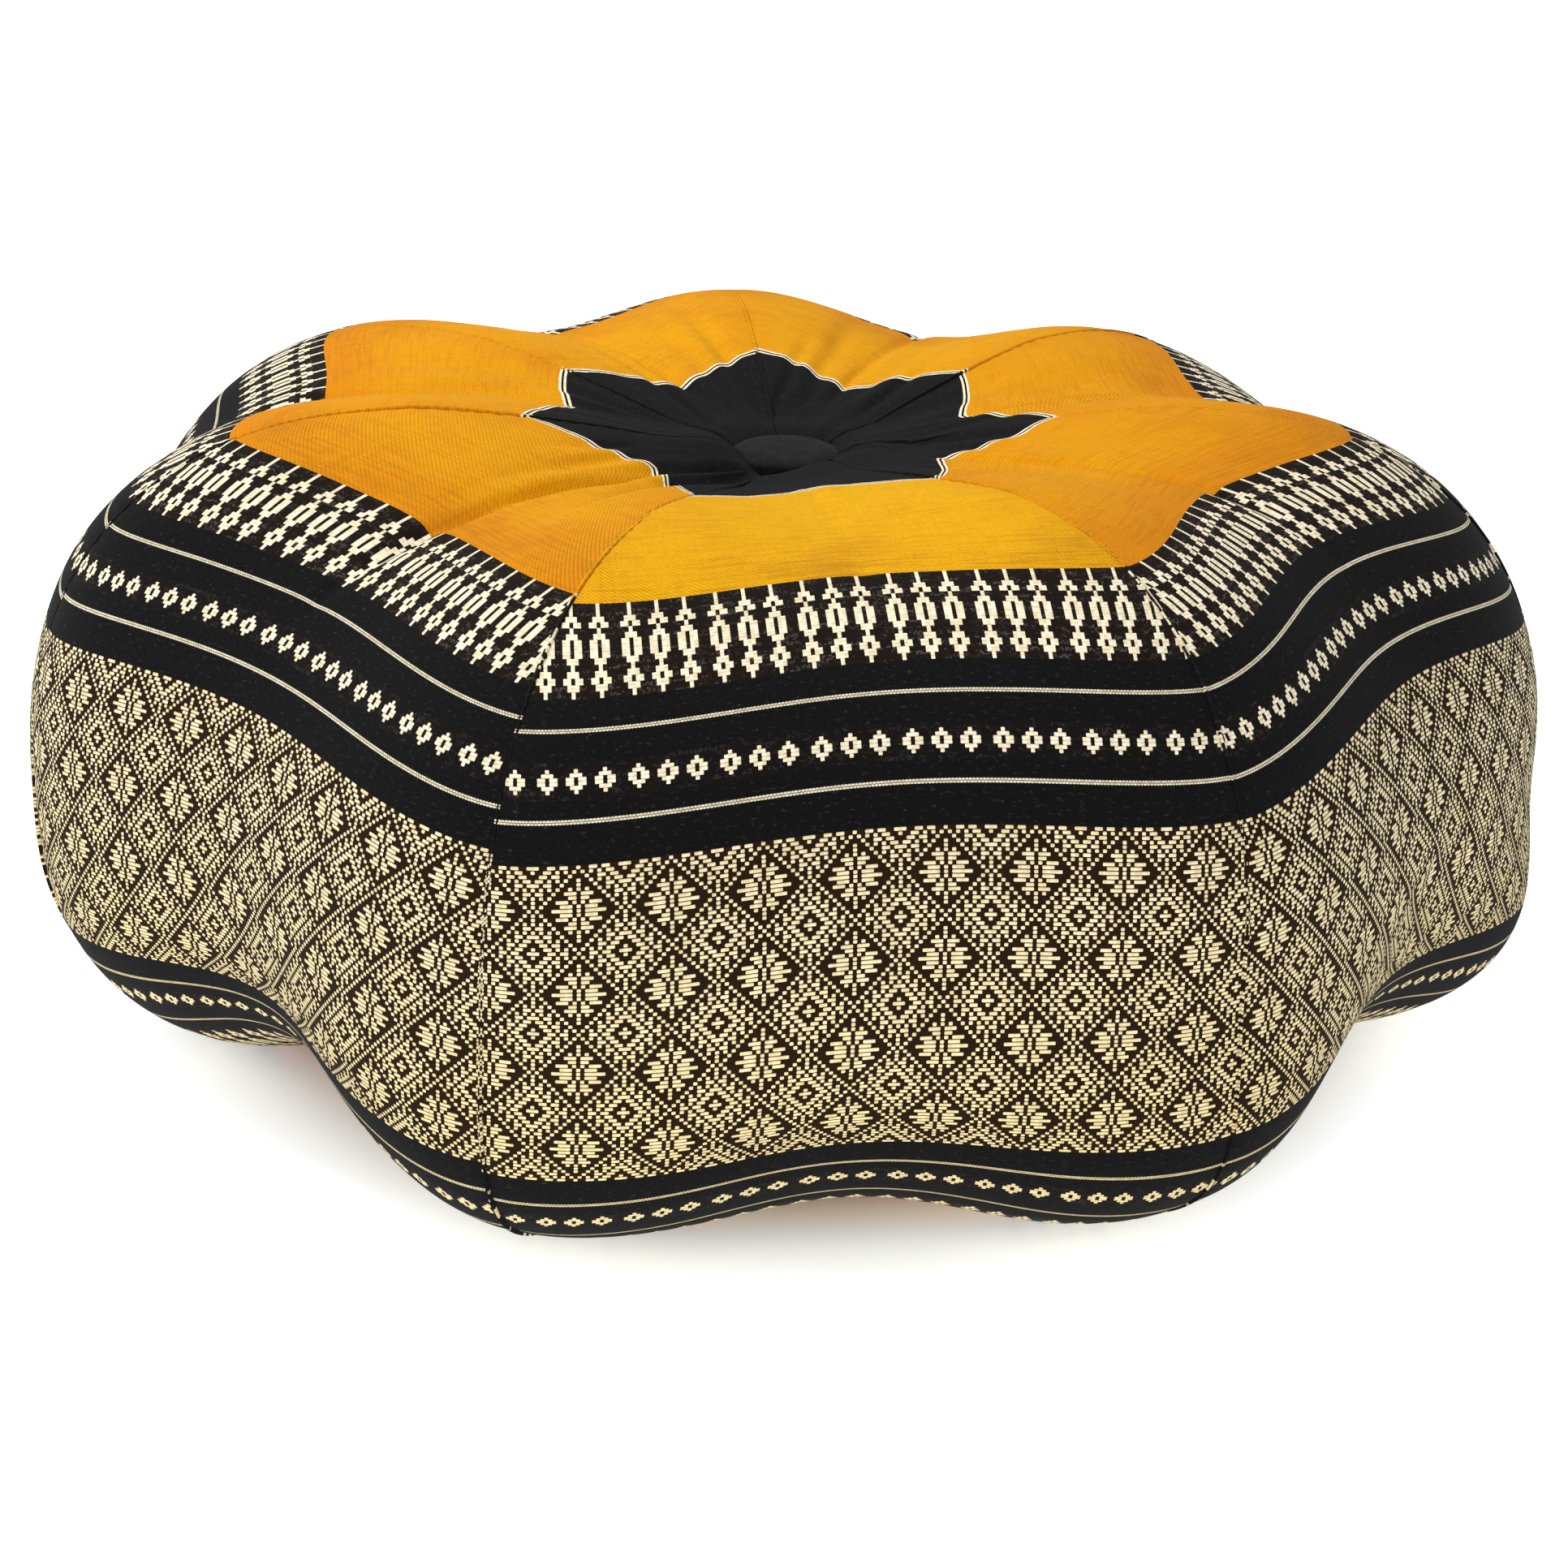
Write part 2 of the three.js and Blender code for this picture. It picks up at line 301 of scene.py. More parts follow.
def seam_outline(shape, count):
    """A seam from the top hole round the side to the bottom hole, at count even steps of its length.

    Radius r and height z follow four arcs: the top pit z = crest - pit ((c - r) / c) ^ curve, a quarter
    of a superellipse r = c + (R - c) cos ^ (2 / n), z = waist + rise sin ^ (2 / n) from the crest to the
    waist, another from the waist to the base, and the bottom pit.
    """
    crest = shape.crest_radius
    inner = np.linspace(shape.hole_radius, crest, 240)
    turn = np.linspace(math.pi / 2, 0, 320)
    reach = shape.radius - crest
    top_power = 2 / shape.top_roundness
    base_power = 2 / shape.base_roundness
    top_rise = shape.crest_height - shape.waist_height
    base_rise = shape.base_height - shape.waist_height
    pit = shape.top_pit * ((crest - inner) / crest) ** shape.top_pit_curve
    hollow = np.clip(shape.base_pit_radius - inner, 0, None) / shape.base_pit_radius
    radius = [
        inner,
        crest + reach * np.cos(turn)[1:] ** top_power,
        crest + reach * np.cos(turn)[::-1][1:] ** base_power,
        inner[::-1][1:],
    ]
    height = [
        shape.crest_height - pit,
        shape.waist_height + top_rise * np.sin(turn)[1:] ** top_power,
        shape.waist_height + base_rise * np.sin(turn)[::-1][1:] ** base_power,
        (shape.base_height + shape.base_pit * hollow ** shape.base_pit_curve)[::-1][1:],
    ]
    radius = np.concatenate(radius)
    height = np.concatenate(height)
    run = np.concatenate([[0], np.cumsum(np.hypot(np.diff(radius), np.diff(height)))])
    even = np.linspace(0, run[-1], count)
    return even, np.interp(even, run, radius), np.interp(even, run, height)


def outline_normal(run, radius, height):
    """The outward direction (-dz, dr) of the seam's outline at each step, of length one."""
    across = np.gradient(radius, run)
    up = np.gradient(height, run)
    size = np.hypot(across, up)
    return -up / size, across / size


def blended(values, panel, s):
    """A seam's value carried smoothly across a panel to the next seam's, s being -1 and 1 on the two."""
    weight = smoothstep(-1, 1, s)
    return values[panel] * (1 - weight) + values[(panel + 1) % PANELS] * weight


def cover_surface(shape, panel, s):
    """Points of the cover's plain outside, rows along a panel by columns at s across it.

    The valley lies below the seam's outline by depth x cos²(pi s / 2), where depth fades in with the
    distance from the axis. Each seam's own lift, reach and turn is carried across the panel.
    """
    run, radius, height = seam_outline(shape, shape.rows + 1)
    out_r, out_z = outline_normal(run, radius, height)
    flat = np.where(out_z >= 0, shape.valley_top, shape.valley_base)
    depth = flat + (shape.valley_side - flat) * np.clip(out_r, 0, 1) ** 2
    depth = depth * smoothstep(shape.valley_start, shape.valley_full, radius)
    down = np.clip(-out_z, 0, 1)[:, None]
    share = shape.valley_share[panel] * (1 - down) + shape.base_share[panel] * down
    hollow = np.cos(math.pi * s / 2) ** 2 * share
    r = radius[:, None] - out_r[:, None] * depth[:, None] * hollow
    z = height[:, None] - out_z[:, None] * depth[:, None] * hollow
    below = smoothstep(shape.waist_height, 0, z)
    r = r * (1 + blended(shape.seam_reach, panel, s) + blended(shape.base_reach, panel, s) * below)
    above = np.clip(z - shape.lift_start, 0, None)
    lift = above * blended(shape.seam_lift, panel, s)
    turn = math.radians(shape.first_seam) + math.pi / PANELS * (2 * panel + 1 + s)
    turn = turn + np.radians(blended(shape.seam_turn, panel, s))
    return np.stack([AXIS.x + r * np.cos(turn), AXIS.y + r * np.sin(turn), z + lift], axis=-1)


def stuffed_shift(shape, panels_wide=20, step=3, frames=16):
    """How the stuffing's push moves the cover off its plain shape, from a cloth simulation.

    A closed grid of the whole cover, panels_wide columns to a panel and every step-th row, is let out by
    a little slack and blown outwards, held at the two holes. Each ring's mean move, outwards and upwards,
    is taken off, as the plain shape already has it. Returns one grid of shifts per panel, from one column
    before its first seam to one after its last, each shift d limited to c d / (c + |d|).
    """
    s = np.linspace(-1, 1, panels_wide + 1)[:-1]
    plain = np.concatenate([cover_surface(shape, panel, s)[::step] for panel in range(PANELS)], axis=1)
    rows, columns = plain.shape[:2]
    mesh = bpy.data.meshes.new("cover_under_pressure")
    mesh.from_pydata(plain.reshape(-1, 3).tolist(), [], grid_faces(rows, columns, closed=True).tolist())
    cover = bpy.data.objects.new("cover_under_pressure", mesh)
    scene = bpy.context.scene
    scene.collection.objects.link(cover)
    held = np.zeros((rows, columns), bool)
    held[[0, 1, -2, -1], :] = True
    pins = cover.vertex_groups.new(name="holes")
    pins.add(np.flatnonzero(held.ravel()).tolist(), 1.0, "REPLACE")
    push = cover.modifiers.new("push", "CLOTH")
    fabric = push.settings
    fabric.vertex_group_mass = "holes"
    fabric.quality = 4
    fabric.mass = 0.02
    fabric.tension_stiffness = 30
    fabric.compression_stiffness = 30
    fabric.shear_stiffness = 8
    fabric.bending_stiffness = 0.3
    fabric.air_damping = 2
    fabric.use_pressure = True
    fabric.uniform_pressure_force = 3.0
    fabric.shrink_min = -0.012
    fabric.effector_weights.gravity = 0
    push.collision_settings.use_collision = False
    push.point_cache.frame_start = 1
    push.point_cache.frame_end = frames
    for frame_number in range(1, frames + 1):
        scene.frame_set(frame_number)
    settled = cover.evaluated_get(bpy.context.evaluated_depsgraph_get()).to_mesh()
    moved = np.empty(rows * columns * 3)
    settled.vertices.foreach_get("co", moved)
    scene.frame_set(1)
    bpy.data.objects.remove(cover)
    bpy.data.meshes.remove(mesh)
    shift = moved.reshape(rows, columns, 3) - plain
    outward = plain - [AXIS.x, AXIS.y, 0]
    outward[..., 2] = 0
    outward = outward / np.linalg.norm(outward, axis=-1, keepdims=True)
    swell = (shift * outward).sum(axis=-1, keepdims=True).mean(axis=1, keepdims=True)
    shift = shift - outward * swell
    shift[..., 2] = shift[..., 2] - shift[..., 2].mean(axis=1, keepdims=True)
    size = np.linalg.norm(shift, axis=-1, keepdims=True)
    shift = shift * shape.most_shift / (shape.most_shift + size)
    around = np.concatenate([shift[:, -1:], shift, shift[:, :2]], axis=1)
    return [around[:, panel * panels_wide:(panel + 1) * panels_wide + 3] for panel in range(PANELS)]


def settled_shifts(shape):
    """Each panel's shifts, worked out once for stuffing and cover."""
    if not SETTLED:
        SETTLED.extend(stuffed_shift(shape))
    return SETTLED


def carried(coarse, rows, s):
    """A coarse grid of vectors carried smoothly onto a fine one, by quadratic B-splines both ways.

    At t from the nearest coarse line, the lines before, at and after it weigh (1/2 - t)² / 2, 3/4 - t²
    and (1/2 + t)² / 2.
    """
    def weighed(place, last):
        near = np.clip(np.rint(place).astype(int), 0, last)
        t = np.clip(place - near, -0.5, 0.5)
        return near, ((0.5 - t) ** 2 / 2, 0.75 - t ** 2, (0.5 + t) ** 2 / 2)

    tall = np.pad(coarse, ((1, 1), (0, 0), (0, 0)), mode="edge")
    row, row_weights = weighed(np.linspace(0, coarse.shape[0] - 1, rows), coarse.shape[0] - 1)
    lines = sum(w[:, None, None] * tall[row + k] for k, w in enumerate(row_weights))
    column, weights = weighed((s + 1) / 2 * (coarse.shape[1] - 3), coarse.shape[1] - 3)
    index = np.arange(rows)[:, None]
    return sum(w[..., None] * lines[index, column + k] for k, w in enumerate(weights))


def lumps(points):
    """Uneven stuffing: eight plane waves sin(k . p + phase), 60 to 130 mm long, summed and scaled to 1."""
    draw = np.random.default_rng(11)
    total = np.zeros(points.shape[:-1])
    for wave in range(8):
        way = draw.normal(size=3)
        way = way / np.linalg.norm(way) * 2 * math.pi / draw.uniform(0.060, 0.130)
        total = total + np.sin(points @ way + draw.uniform(0, 2 * math.pi))
    return total / 8


def creases(shape, panel, reach, side):
    """Folds that run down a valley towards the button, as a height to add.

    side is the distance from the panel's middle line and reach the distance from the axis. Each fold is
    a groove -a exp(-(side - c)² / w²) with a soft ridge beside it. Its place c closes in on the middle
    line towards the button, and its depth fades out over the orange band. One wider fold runs down the
    middle, where the two lobes meet.
    """
    draw = np.random.default_rng(40 + panel)
    total = np.zeros(side.shape)
    for fold in range(5):
        place = (fold - 2) * 0.010 + draw.uniform(-0.005, 0.005)
        slant = draw.uniform(-0.10, 0.10)
        width = draw.uniform(0.0018, 0.0040) * (0.6 + reach / 0.12)
        deep = draw.uniform(0.1, 0.7) * shape.crease_depth[panel] * MM
        start = draw.uniform(0.018, 0.055)
        end = draw.uniform(0.105, 0.185)
        centre = place * (0.30 + reach / 0.11) + slant * (reach - 0.06)
        along = smoothstep(start, start + 0.02, reach) * (1 - smoothstep(end - 0.06, end, reach))
        groove = np.exp(-(((side - centre) / width) ** 2))
        ridge = np.exp(-(((side - centre - 1.8 * width) / (1.5 * width)) ** 2))
        total = total + along * deep * (0.45 * ridge - groove)
    centre = 0.004 * math.sin(2.3 * panel) + 0.05 * math.sin(1.7 * panel + 1) * (reach - 0.10)
    width = 0.0016 + 0.013 * reach
    along = smoothstep(0.045, 0.075, reach) * (1 - smoothstep(0.150, 0.215, reach))
    fold = 1 / np.sqrt(1 + ((side - centre) / width) ** 2) ** 3
    return total - along * fold * shape.crease_depth[panel] * MM


def seam_puckers(panel, side, run, distance):
    """Small ripples beside a seam, as a height to add: the stitches gather the cloth every 6 mm or so.

    side is -1 or 1 for the two seams of a panel, and distance is the way to the seam. The height is
    a sin(2 pi run / pitch + drift) exp(-distance / reach), and it comes and goes in long patches.
    """
    draw = np.random.default_rng(70 + (panel + (side > 0)) % PANELS)
    pitch = draw.uniform(0.0058, 0.0068)
    whole_turns = 2 * math.pi * run
    drift = 1.1 * np.sin(whole_turns / 0.083 + draw.uniform(0, 6)) + 0.8 * np.sin(whole_turns / 0.037)
    wave = np.sin(whole_turns / pitch + drift)
    patch = 0.55 + 0.45 * np.sin(whole_turns / 0.140 + draw.uniform(0, 6))
    return PUCKER * wave * patch * np.exp(-distance / PUCKER_REACH)


def grid_normals(points):
    """Outward unit normals of a grid whose rows run down a panel and whose columns run anticlockwise."""
    down = np.gradient(points, axis=0)
    across = np.gradient(points, axis=1)
    normal = np.cross(down, across)
    return normal / np.maximum(np.linalg.norm(normal, axis=-1, keepdims=True), 1e-12)


def add_mesh(name, points, faces):
    """A smooth-shaded object from points in metres and rows of corners, riding on the cushion's body."""
    mesh = bpy.data.meshes.new(name)
    if isinstance(faces, np.ndarray):
        faces = faces.tolist()
    mesh.from_pydata(points.reshape(-1, 3).tolist(), [], faces)
    mesh.update()
    mesh.polygons.foreach_set("use_smooth", np.ones(len(mesh.polygons), bool))
    piece = bpy.data.objects.new(name, mesh)
    bpy.context.scene.collection.objects.link(piece)
    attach(piece, BODY)
    return piece


def grid_faces(rows, columns, start=0, flip=False, closed=False):
    """Quads between neighbouring rows and columns of a grid. closed joins the last column to the first."""
    width = columns if closed else columns - 1
    i, j = np.meshgrid(np.arange(rows - 1), np.arange(width), indexing="ij")
    k = (j + 1) % columns
    quads = np.stack([i * columns + j, (i + 1) * columns + j, (i + 1) * columns + k, i * columns + k], -1)
    quads = quads.reshape(-1, 4) + start
    return quads[:, ::-1] if flip else quads


def sewn_panel(shape, cloth, panel, shift):
    """One panel as a closed thin shell, with its allowances turned in at the seams.

    Across the panel, columns stand at s = 0.3 t + 0.7 sin(pi t / 2), closer together near the seams. The
    last columns follow a quarter turn of radius R from the surface into the seam, at a distance
    R (1 - sin a) from the seam and a depth R (1 - cos a), and then go straight in for the allowance.
    Lumps, creases, puckers, a dip at each seam and a soft collar round the button are added along the
    normal. The mesh carries each corner's thread and pick and each point's way to the seam.
    """
    run, radius, _ = seam_outline(shape, shape.rows + 1)
    t = np.linspace(-1, 1, shape.columns)
    spread = 0.3 * t + 0.7 * np.sin(math.pi * t / 2)
    half_width = radius * math.pi / PANELS
    margin = (shape.seam_round + shape.seam_gap / 2) / half_width
    turn = np.linspace(0, math.pi / 2, 5)[1:]
    sink = shape.seam_round * (1 - np.cos(turn))
    near = shape.seam_gap / 2 + shape.seam_round * (1 - np.sin(turn))
    deep = shape.seam_round + shape.allowance * np.array([0.35, 1.0])
    edge_depth = np.concatenate([sink, deep])
    edge_gap = np.concatenate([near, np.full(len(deep), shape.seam_gap / 2)])
    edge = 1 - edge_gap[None, :] / half_width[:, None]
    middle = spread[None, :] * (1 - margin[:, None])
    s = np.concatenate([-edge[:, ::-1], middle, edge], axis=1)
    depth = np.concatenate([edge_depth[::-1], np.zeros(shape.columns), edge_depth])[None, :]

    plain = cover_surface(shape, panel, s)
    step = np.linalg.norm(np.diff(plain, axis=1), axis=-1)
    side = np.concatenate([np.zeros((len(run), 1)), np.cumsum(step, axis=1)], axis=1)
    side = side - side[:, [side.shape[1] // 2]] / 2 - side[:, [side.shape[1] // 2 - 1]] / 2
    distance = (1 - np.abs(s)) * half_width[:, None]
    if shift is not None:
        plain = plain + carried(shift, len(run), s)
    normal = grid_normals(plain)
    reach = np.hypot(plain[..., 0] - AXIS.x, plain[..., 1] - AXIS.y)
    top = smoothstep(0.12, 0.16, plain[..., 2])
    along = run[:, None]
    rise = LUMP * lumps(plain) + creases(shape, panel, reach, side) * top
    rise = rise - SEAM_DIP * np.exp(-distance / SEAM_DIP_REACH)
    rise = rise + COLLAR * np.exp(-(((reach - COLLAR_RADIUS) / COLLAR_WIDTH) ** 2)) * top
    puckers = [seam_puckers(panel, end, along, distance) for end in (-1, 1)]
    rise = rise + np.where(s < 0, *puckers)
    outer = plain + normal * (rise - depth)[..., None]
    outer[..., 2] = resting(outer[..., 2])
    inner = outer - grid_normals(outer) * shape.thickness
    inner[..., 2] = np.maximum(inner[..., 2], 0.0001)

    rows, columns = s.shape
    count = rows * columns
    layers = [grid_faces(rows, columns), grid_faces(rows, columns, count, flip=True)]
    loop = np.concatenate([
        np.arange(columns),
        np.arange(1, rows) * columns + columns - 1,
        (rows - 1) * columns + np.arange(columns - 2, -1, -1),
        np.arange(rows - 2, 0, -1) * columns,
    ])
    following = np.roll(loop, -1)
    layers.append(np.stack([loop, following, following + count, loop + count], -1))
    points = np.concatenate([outer.reshape(-1, 3), inner.reshape(-1, 3)])
    piece = add_mesh(f"sewn_panel_{panel + 1}", points, np.concatenate(layers))

    picks = stripe_picks(cloth, panel, along, s)
    threads = side / cloth.column_pitch + cloth.cut_shift[panel]
    corner = np.empty(len(piece.data.loops), int)
    piece.data.loops.foreach_get("vertex_index", corner)
    place = np.stack([threads.ravel(), picks.ravel()], -1)[corner % count]
    piece.data.uv_layers.new(name="threads").data.foreach_set("uv", place.ravel().astype(np.float32))
    seam = piece.data.attributes.new("seam_distance", "FLOAT", "POINT")
    seam.data.foreach_set("value", np.tile(distance.ravel(), 2).astype(np.float32))
    # warmth carries each panel's painted shot sheen to the plain band.
    warmth = piece.data.attributes.new("warmth", "FLOAT", "POINT")
    warmth.data.foreach_set("value", np.full(2 * count, cloth.warmth[panel], np.float32))
    flat_width = float(side.max() - side.min()) + 2 * float(edge_depth[-1])
    return piece, (flat_width, float(run[-1]))


def stripe_picks(cloth, panel, run, s):
    """The pick of the cloth at each point of a panel, from 0 on the equator, positive towards the top.

    A valley is a shorter way to the button than a seam, so the cloth there lies nearer to it. On top the
    stripes are drawn in by P cos(pi s / 2)^1.5 sin(pi t / 2), where t rises from 0 below the equator to 1
    over the orange band, and round the star P changes to the star's own pull. The underside, pressed
    flat, is drawn in less. Each panel's own shift and slant come from the way that it was cut.
    """
    start, full, star_edge = 0.355, 0.100, 0.185
    climb = np.clip((start - run) / (start - full), 0, 1)
    bell = np.cos(math.pi * s / 2) ** 1.5
    outer = cloth.valley_pull[panel] * np.sin(math.pi / 2 * climb) * bell
    tent = cloth.star_pull[panel] * (1 - np.abs(s) ** 1.25)
    near_star = 1 - smoothstep(full, star_edge, run)
    top = outer * (1 - near_star) + tent * near_star
    below = 0.6 * cloth.valley_pull[panel] * bell * smoothstep(0.40, 0.53, run)
    cut = cloth.stripe_shift[panel] + cloth.stripe_slant[panel] * s
    return (cloth.equator - run - (top - below + cut) * MM) / cloth.pick_pitch


def resting(height, softness=0.0012):
    """Heights flattened by the floor: a smooth maximum of the height and just above zero."""
    return (height + np.sqrt(height ** 2 + softness ** 2)) / 2 + 0.0001


def kapok_surface(shape, offset):
    """The stuffing's outside: the cover's surface moved in, deeper at the allowances and under the folds."""
    s = np.linspace(-1, 1, 33)[:-1]
    sheets = []
    for panel in range(PANELS):
        place = s[None, :] * np.ones((shape.rows + 1, 1))
        plain = cover_surface(shape, panel, place)
        shift = settled_shifts(shape)[panel]
        if shift is not None:
            plain = plain + carried(shift, shape.rows + 1, place)
        reach = np.hypot(plain[..., 0] - AXIS.x, plain[..., 1] - AXIS.y)
        groove = shape.allowance * 1.25 * np.exp(-((1 - np.abs(s)) * reach * math.pi / PANELS / 0.003) ** 2)
        valley = 0.0045 * np.cos(math.pi * s / 2) ** 4 * smoothstep(0.14, 0.17, plain[..., 2])
        sheets.append(plain - grid_normals(plain) * (offset + groove + valley)[..., None])
    return np.concatenate(sheets, axis=1)


def kapok_stuffing(shape):
    """The stuffing as one closed body with a way through on the axis."""
    points = kapok_surface(shape, 0.0032)
    points[..., 2] = np.maximum(points[..., 2], 0.0022)
    rows, columns = points.shape[:2]
    skin = grid_faces(rows, columns, closed=True)
    first = np.arange(columns)
    last = first + (rows - 1) * columns
    bore = np.stack([last, first, np.roll(first, -1), np.roll(last, -1)], -1)
    return add_mesh("kapok_stuffing", points, np.concatenate([skin, bore]))


def turned(name, profile, sides, ripple=None):
    """A closed solid turned about the axis, from a profile of radius and height that starts and ends on it.

    ripple(angle, row) gives a share to add to the radius.
    """
    angle = np.linspace(0, 2 * math.pi, sides, endpoint=False)
    radius = profile[1:-1, 0][:, None] * np.ones(sides)
    height = profile[1:-1, 1][:, None] * np.ones(sides)
    if ripple is not None:
        radius = radius * (1 + ripple(angle[None, :], np.arange(1, len(profile) - 1)[:, None]))
    ring = np.stack([AXIS.x + radius * np.cos(angle), AXIS.y + radius * np.sin(angle), height], -1)
    ends = np.array([[AXIS.x, AXIS.y, profile[0, 1]], [AXIS.x, AXIS.y, profile[-1, 1]]])
    rows = len(profile) - 2
    points = np.concatenate([ring.reshape(-1, 3), ends])
    faces = grid_faces(rows, sides, closed=True).tolist()
    around = np.arange(sides)
    following = np.roll(around, -1)
    top = np.full(sides, rows * sides)
    under = (rows - 1) * sides
    faces += np.stack([top, around, following], -1).tolist()
    faces += np.stack([top + 1, following + under, around + under], -1).tolist()
    return add_mesh(name, points, faces)


def covered_button(name, node, up):
    """A button's cloth: a dome drawn tight over the core and gathered underneath, inside its CAD node's box.

    The dome is r = R sin a, z = rim + rise cos a. Below the rim the cloth tucks in, and its gathers are
    ripples of the radius that grow towards the rim.
    """
    low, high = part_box(node)
    radius = (high.x - low.x) / 2
    crown = high.z if up > 0 else low.z
    foot = low.z if up > 0 else high.z
    cloth = 0.0008
    rise = 0.0035
    rim = crown - up * rise
    angle = np.linspace(0, math.pi / 2, 22)
    tuck = np.linspace(0, 1, 8)[1:]
    opening = 0.44 * radius

    def shell(inset, base):
        dome_r = (radius - inset) * np.sin(angle) ** 0.92
        dome_z = rim + up * (rise - inset) * np.cos(angle)
        drop = base - dome_z[-1]
        side_r = (radius - inset) * (1 - 0.07 * tuck ** 2)
        side_z = dome_z[-1] + drop * tuck
        return np.concatenate([np.stack([dome_r, dome_z], -1), np.stack([side_r, side_z], -1)])

    outer = shell(0, foot + up * 0.0002)
    inner = shell(cloth, foot + up * (0.0002 + cloth))[::-1]
    lip = np.array([[opening, outer[-1, 1]], [opening, inner[0, 1]]])
    profile = np.concatenate([outer, lip, inner])
    domes = len(outer)

    def ripple(turn, row):
        share = np.clip(np.minimum(row, len(profile) - 1 - row) / domes, 0, 1) ** 3
        gathers = np.cos(22 * turn + 1.3 * np.sin(3 * turn)) + 0.5 * np.cos(9 * turn + 0.7)
        return 0.011 * share * gathers

    if up < 0:
        flipped = profile[::-1]
        piece = turned(name, flipped, 132, lambda turn, row: ripple(turn, len(profile) - 1 - row))
    else:
        piece = turned(name, profile, 132, ripple)
    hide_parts(node)
    return piece


def axis_tie(trim):
    """The tie between the two buttons: strands laid up into a twine.

    The radius at height z and angle a is R (1 + 0.16 (cos(n (a - 2 pi z / lay)) - 1) / 2).
    """
    low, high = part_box("tie_cord")
    radius = (high.x - low.x) / 2
    rows = 360
    sides = 24
    height = np.linspace(high.z, low.z, rows)[:, None]
    angle = np.linspace(0, 2 * math.pi, sides, endpoint=False)[None, :]
    lobed = np.cos(trim.strands * (angle - 2 * math.pi * height / trim.lay))
    reach = radius * (1 + 0.16 * (lobed - 1))
    ring = np.stack(
        [AXIS.x + reach * np.cos(angle), AXIS.y + reach * np.sin(angle), height * np.ones((1, sides))], -1
    )
    ends = [list(range(sides)), [(rows - 1) * sides + i for i in reversed(range(sides))]]
    faces = grid_faces(rows, sides, closed=True).tolist() + ends
    piece = add_mesh("axis_tie", ring, faces)
    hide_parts("tie_cord")
    return piece


# ---------------------------------------------------------------------------------------------
# Materials
# ---------------------------------------------------------------------------------------------

class Term:
    """A node's output that takes part in a formula like a number. Each sum adds one Math node."""

    def __init__(self, tree, socket):
        self.tree = tree
        self.socket = socket

    def math(self, operation, *others):
        node = self.tree.nodes.new("ShaderNodeMath")
        node.operation = operation
        for pin, value in zip(node.inputs, (self, *others)):
            feed(self.tree, pin, value)
        return Term(self.tree, node.outputs[0])

    def __add__(self, other):
        return self.math("ADD", other)

    def __sub__(self, other):
        return self.math("SUBTRACT", other)

    def __mul__(self, other):
        return self.math("MULTIPLY", other)

    def __truediv__(self, other):
        return self.math("DIVIDE", other)

    def flipped(self):
        """One minus the value."""
        return (self * -1) + 1

    def floor(self):
        return self.math("FLOOR")

    def size(self):
        return self.math("ABSOLUTE")

    def wrapped(self, period):
        """The value modulo the period, from 0 to the period."""
        return self.math("FLOORED_MODULO", period)

    def above(self, edge):
        return self.math("GREATER_THAN", edge)

    def below(self, edge):
        return self.math("LESS_THAN", edge)

    def least(self, other):
        return self.math("MINIMUM", other)

    def most(self, other):
        return self.math("MAXIMUM", other)

    def ramped(self, low, high):
        """0 at low and 1 at high, with a smooth step between them. low may be the larger."""
        node = self.tree.nodes.new("ShaderNodeMapRange")
        node.interpolation_type = "SMOOTHSTEP"
        rising = high > low
        for pin, value in (("From Min", min(low, high)), ("From Max", max(low, high)),
                           ("To Min", 0.0 if rising else 1.0), ("To Max", 1.0 if rising else 0.0)):
            node.inputs[pin].default_value = value
        feed(self.tree, node.inputs["Value"], self)
        return Term(self.tree, node.outputs["Result"])

    def between(self, low, high):
        """1 from low to high and 0 outside."""
        return self.above(low) * self.below(high)


def feed(tree, pin, value):
    """Links a term to a pin, or sets the pin to a plain number or colour."""
    if isinstance(value, Term):
        tree.links.new(value.socket, pin)
    elif hasattr(value, "__len__"):
        pin.default_value = (*value, 1.0)[:len(pin.default_value)]
    else:
        pin.default_value = value


def mixed(factor, first, second):
    """Colour first where factor is 0 and second where it is 1."""
    node = factor.tree.nodes.new("ShaderNodeMix")
    node.data_type = "RGBA"
    feed(factor.tree, node.inputs[0], factor)
    feed(factor.tree, node.inputs[6], first)
    feed(factor.tree, node.inputs[7], second)
    return Term(factor.tree, node.outputs[2])


def chosen(factor, first, second):
    """Number first where factor is 0 and second where it is 1."""
    node = factor.tree.nodes.new("ShaderNodeMix")
    feed(factor.tree, node.inputs[0], factor)
    feed(factor.tree, node.inputs[2], first)
    feed(factor.tree, node.inputs[3], second)
    return Term(factor.tree, node.outputs[0])


def combined(x, y, z=0.0):
    """A vector of three terms or numbers, the first of which is a term."""
    node = x.tree.nodes.new("ShaderNodeCombineXYZ")
    for pin, value in zip(node.inputs, (x, y, z)):
        feed(x.tree, pin, value)
    return Term(x.tree, node.outputs[0])


def noise(vector, scale, detail=2.0, rough=0.5):
    """Smooth noise from 0 to 1 at a vector."""
    node = vector.tree.nodes.new("ShaderNodeTexNoise")
    feed(vector.tree, node.inputs["Vector"], vector)
    feed(vector.tree, node.inputs["Scale"], scale)
    feed(vector.tree, node.inputs["Detail"], detail)
    feed(vector.tree, node.inputs["Roughness"], rough)
    return Term(vector.tree, node.outputs["Fac"])


def scatter(vector):
    """A number from 0 to 1 drawn afresh for each different vector."""
    node = vector.tree.nodes.new("ShaderNodeTexWhiteNoise")
    node.noise_dimensions = "3D"
    feed(vector.tree, node.inputs["Vector"], vector)
    return Term(vector.tree, node.outputs["Value"])


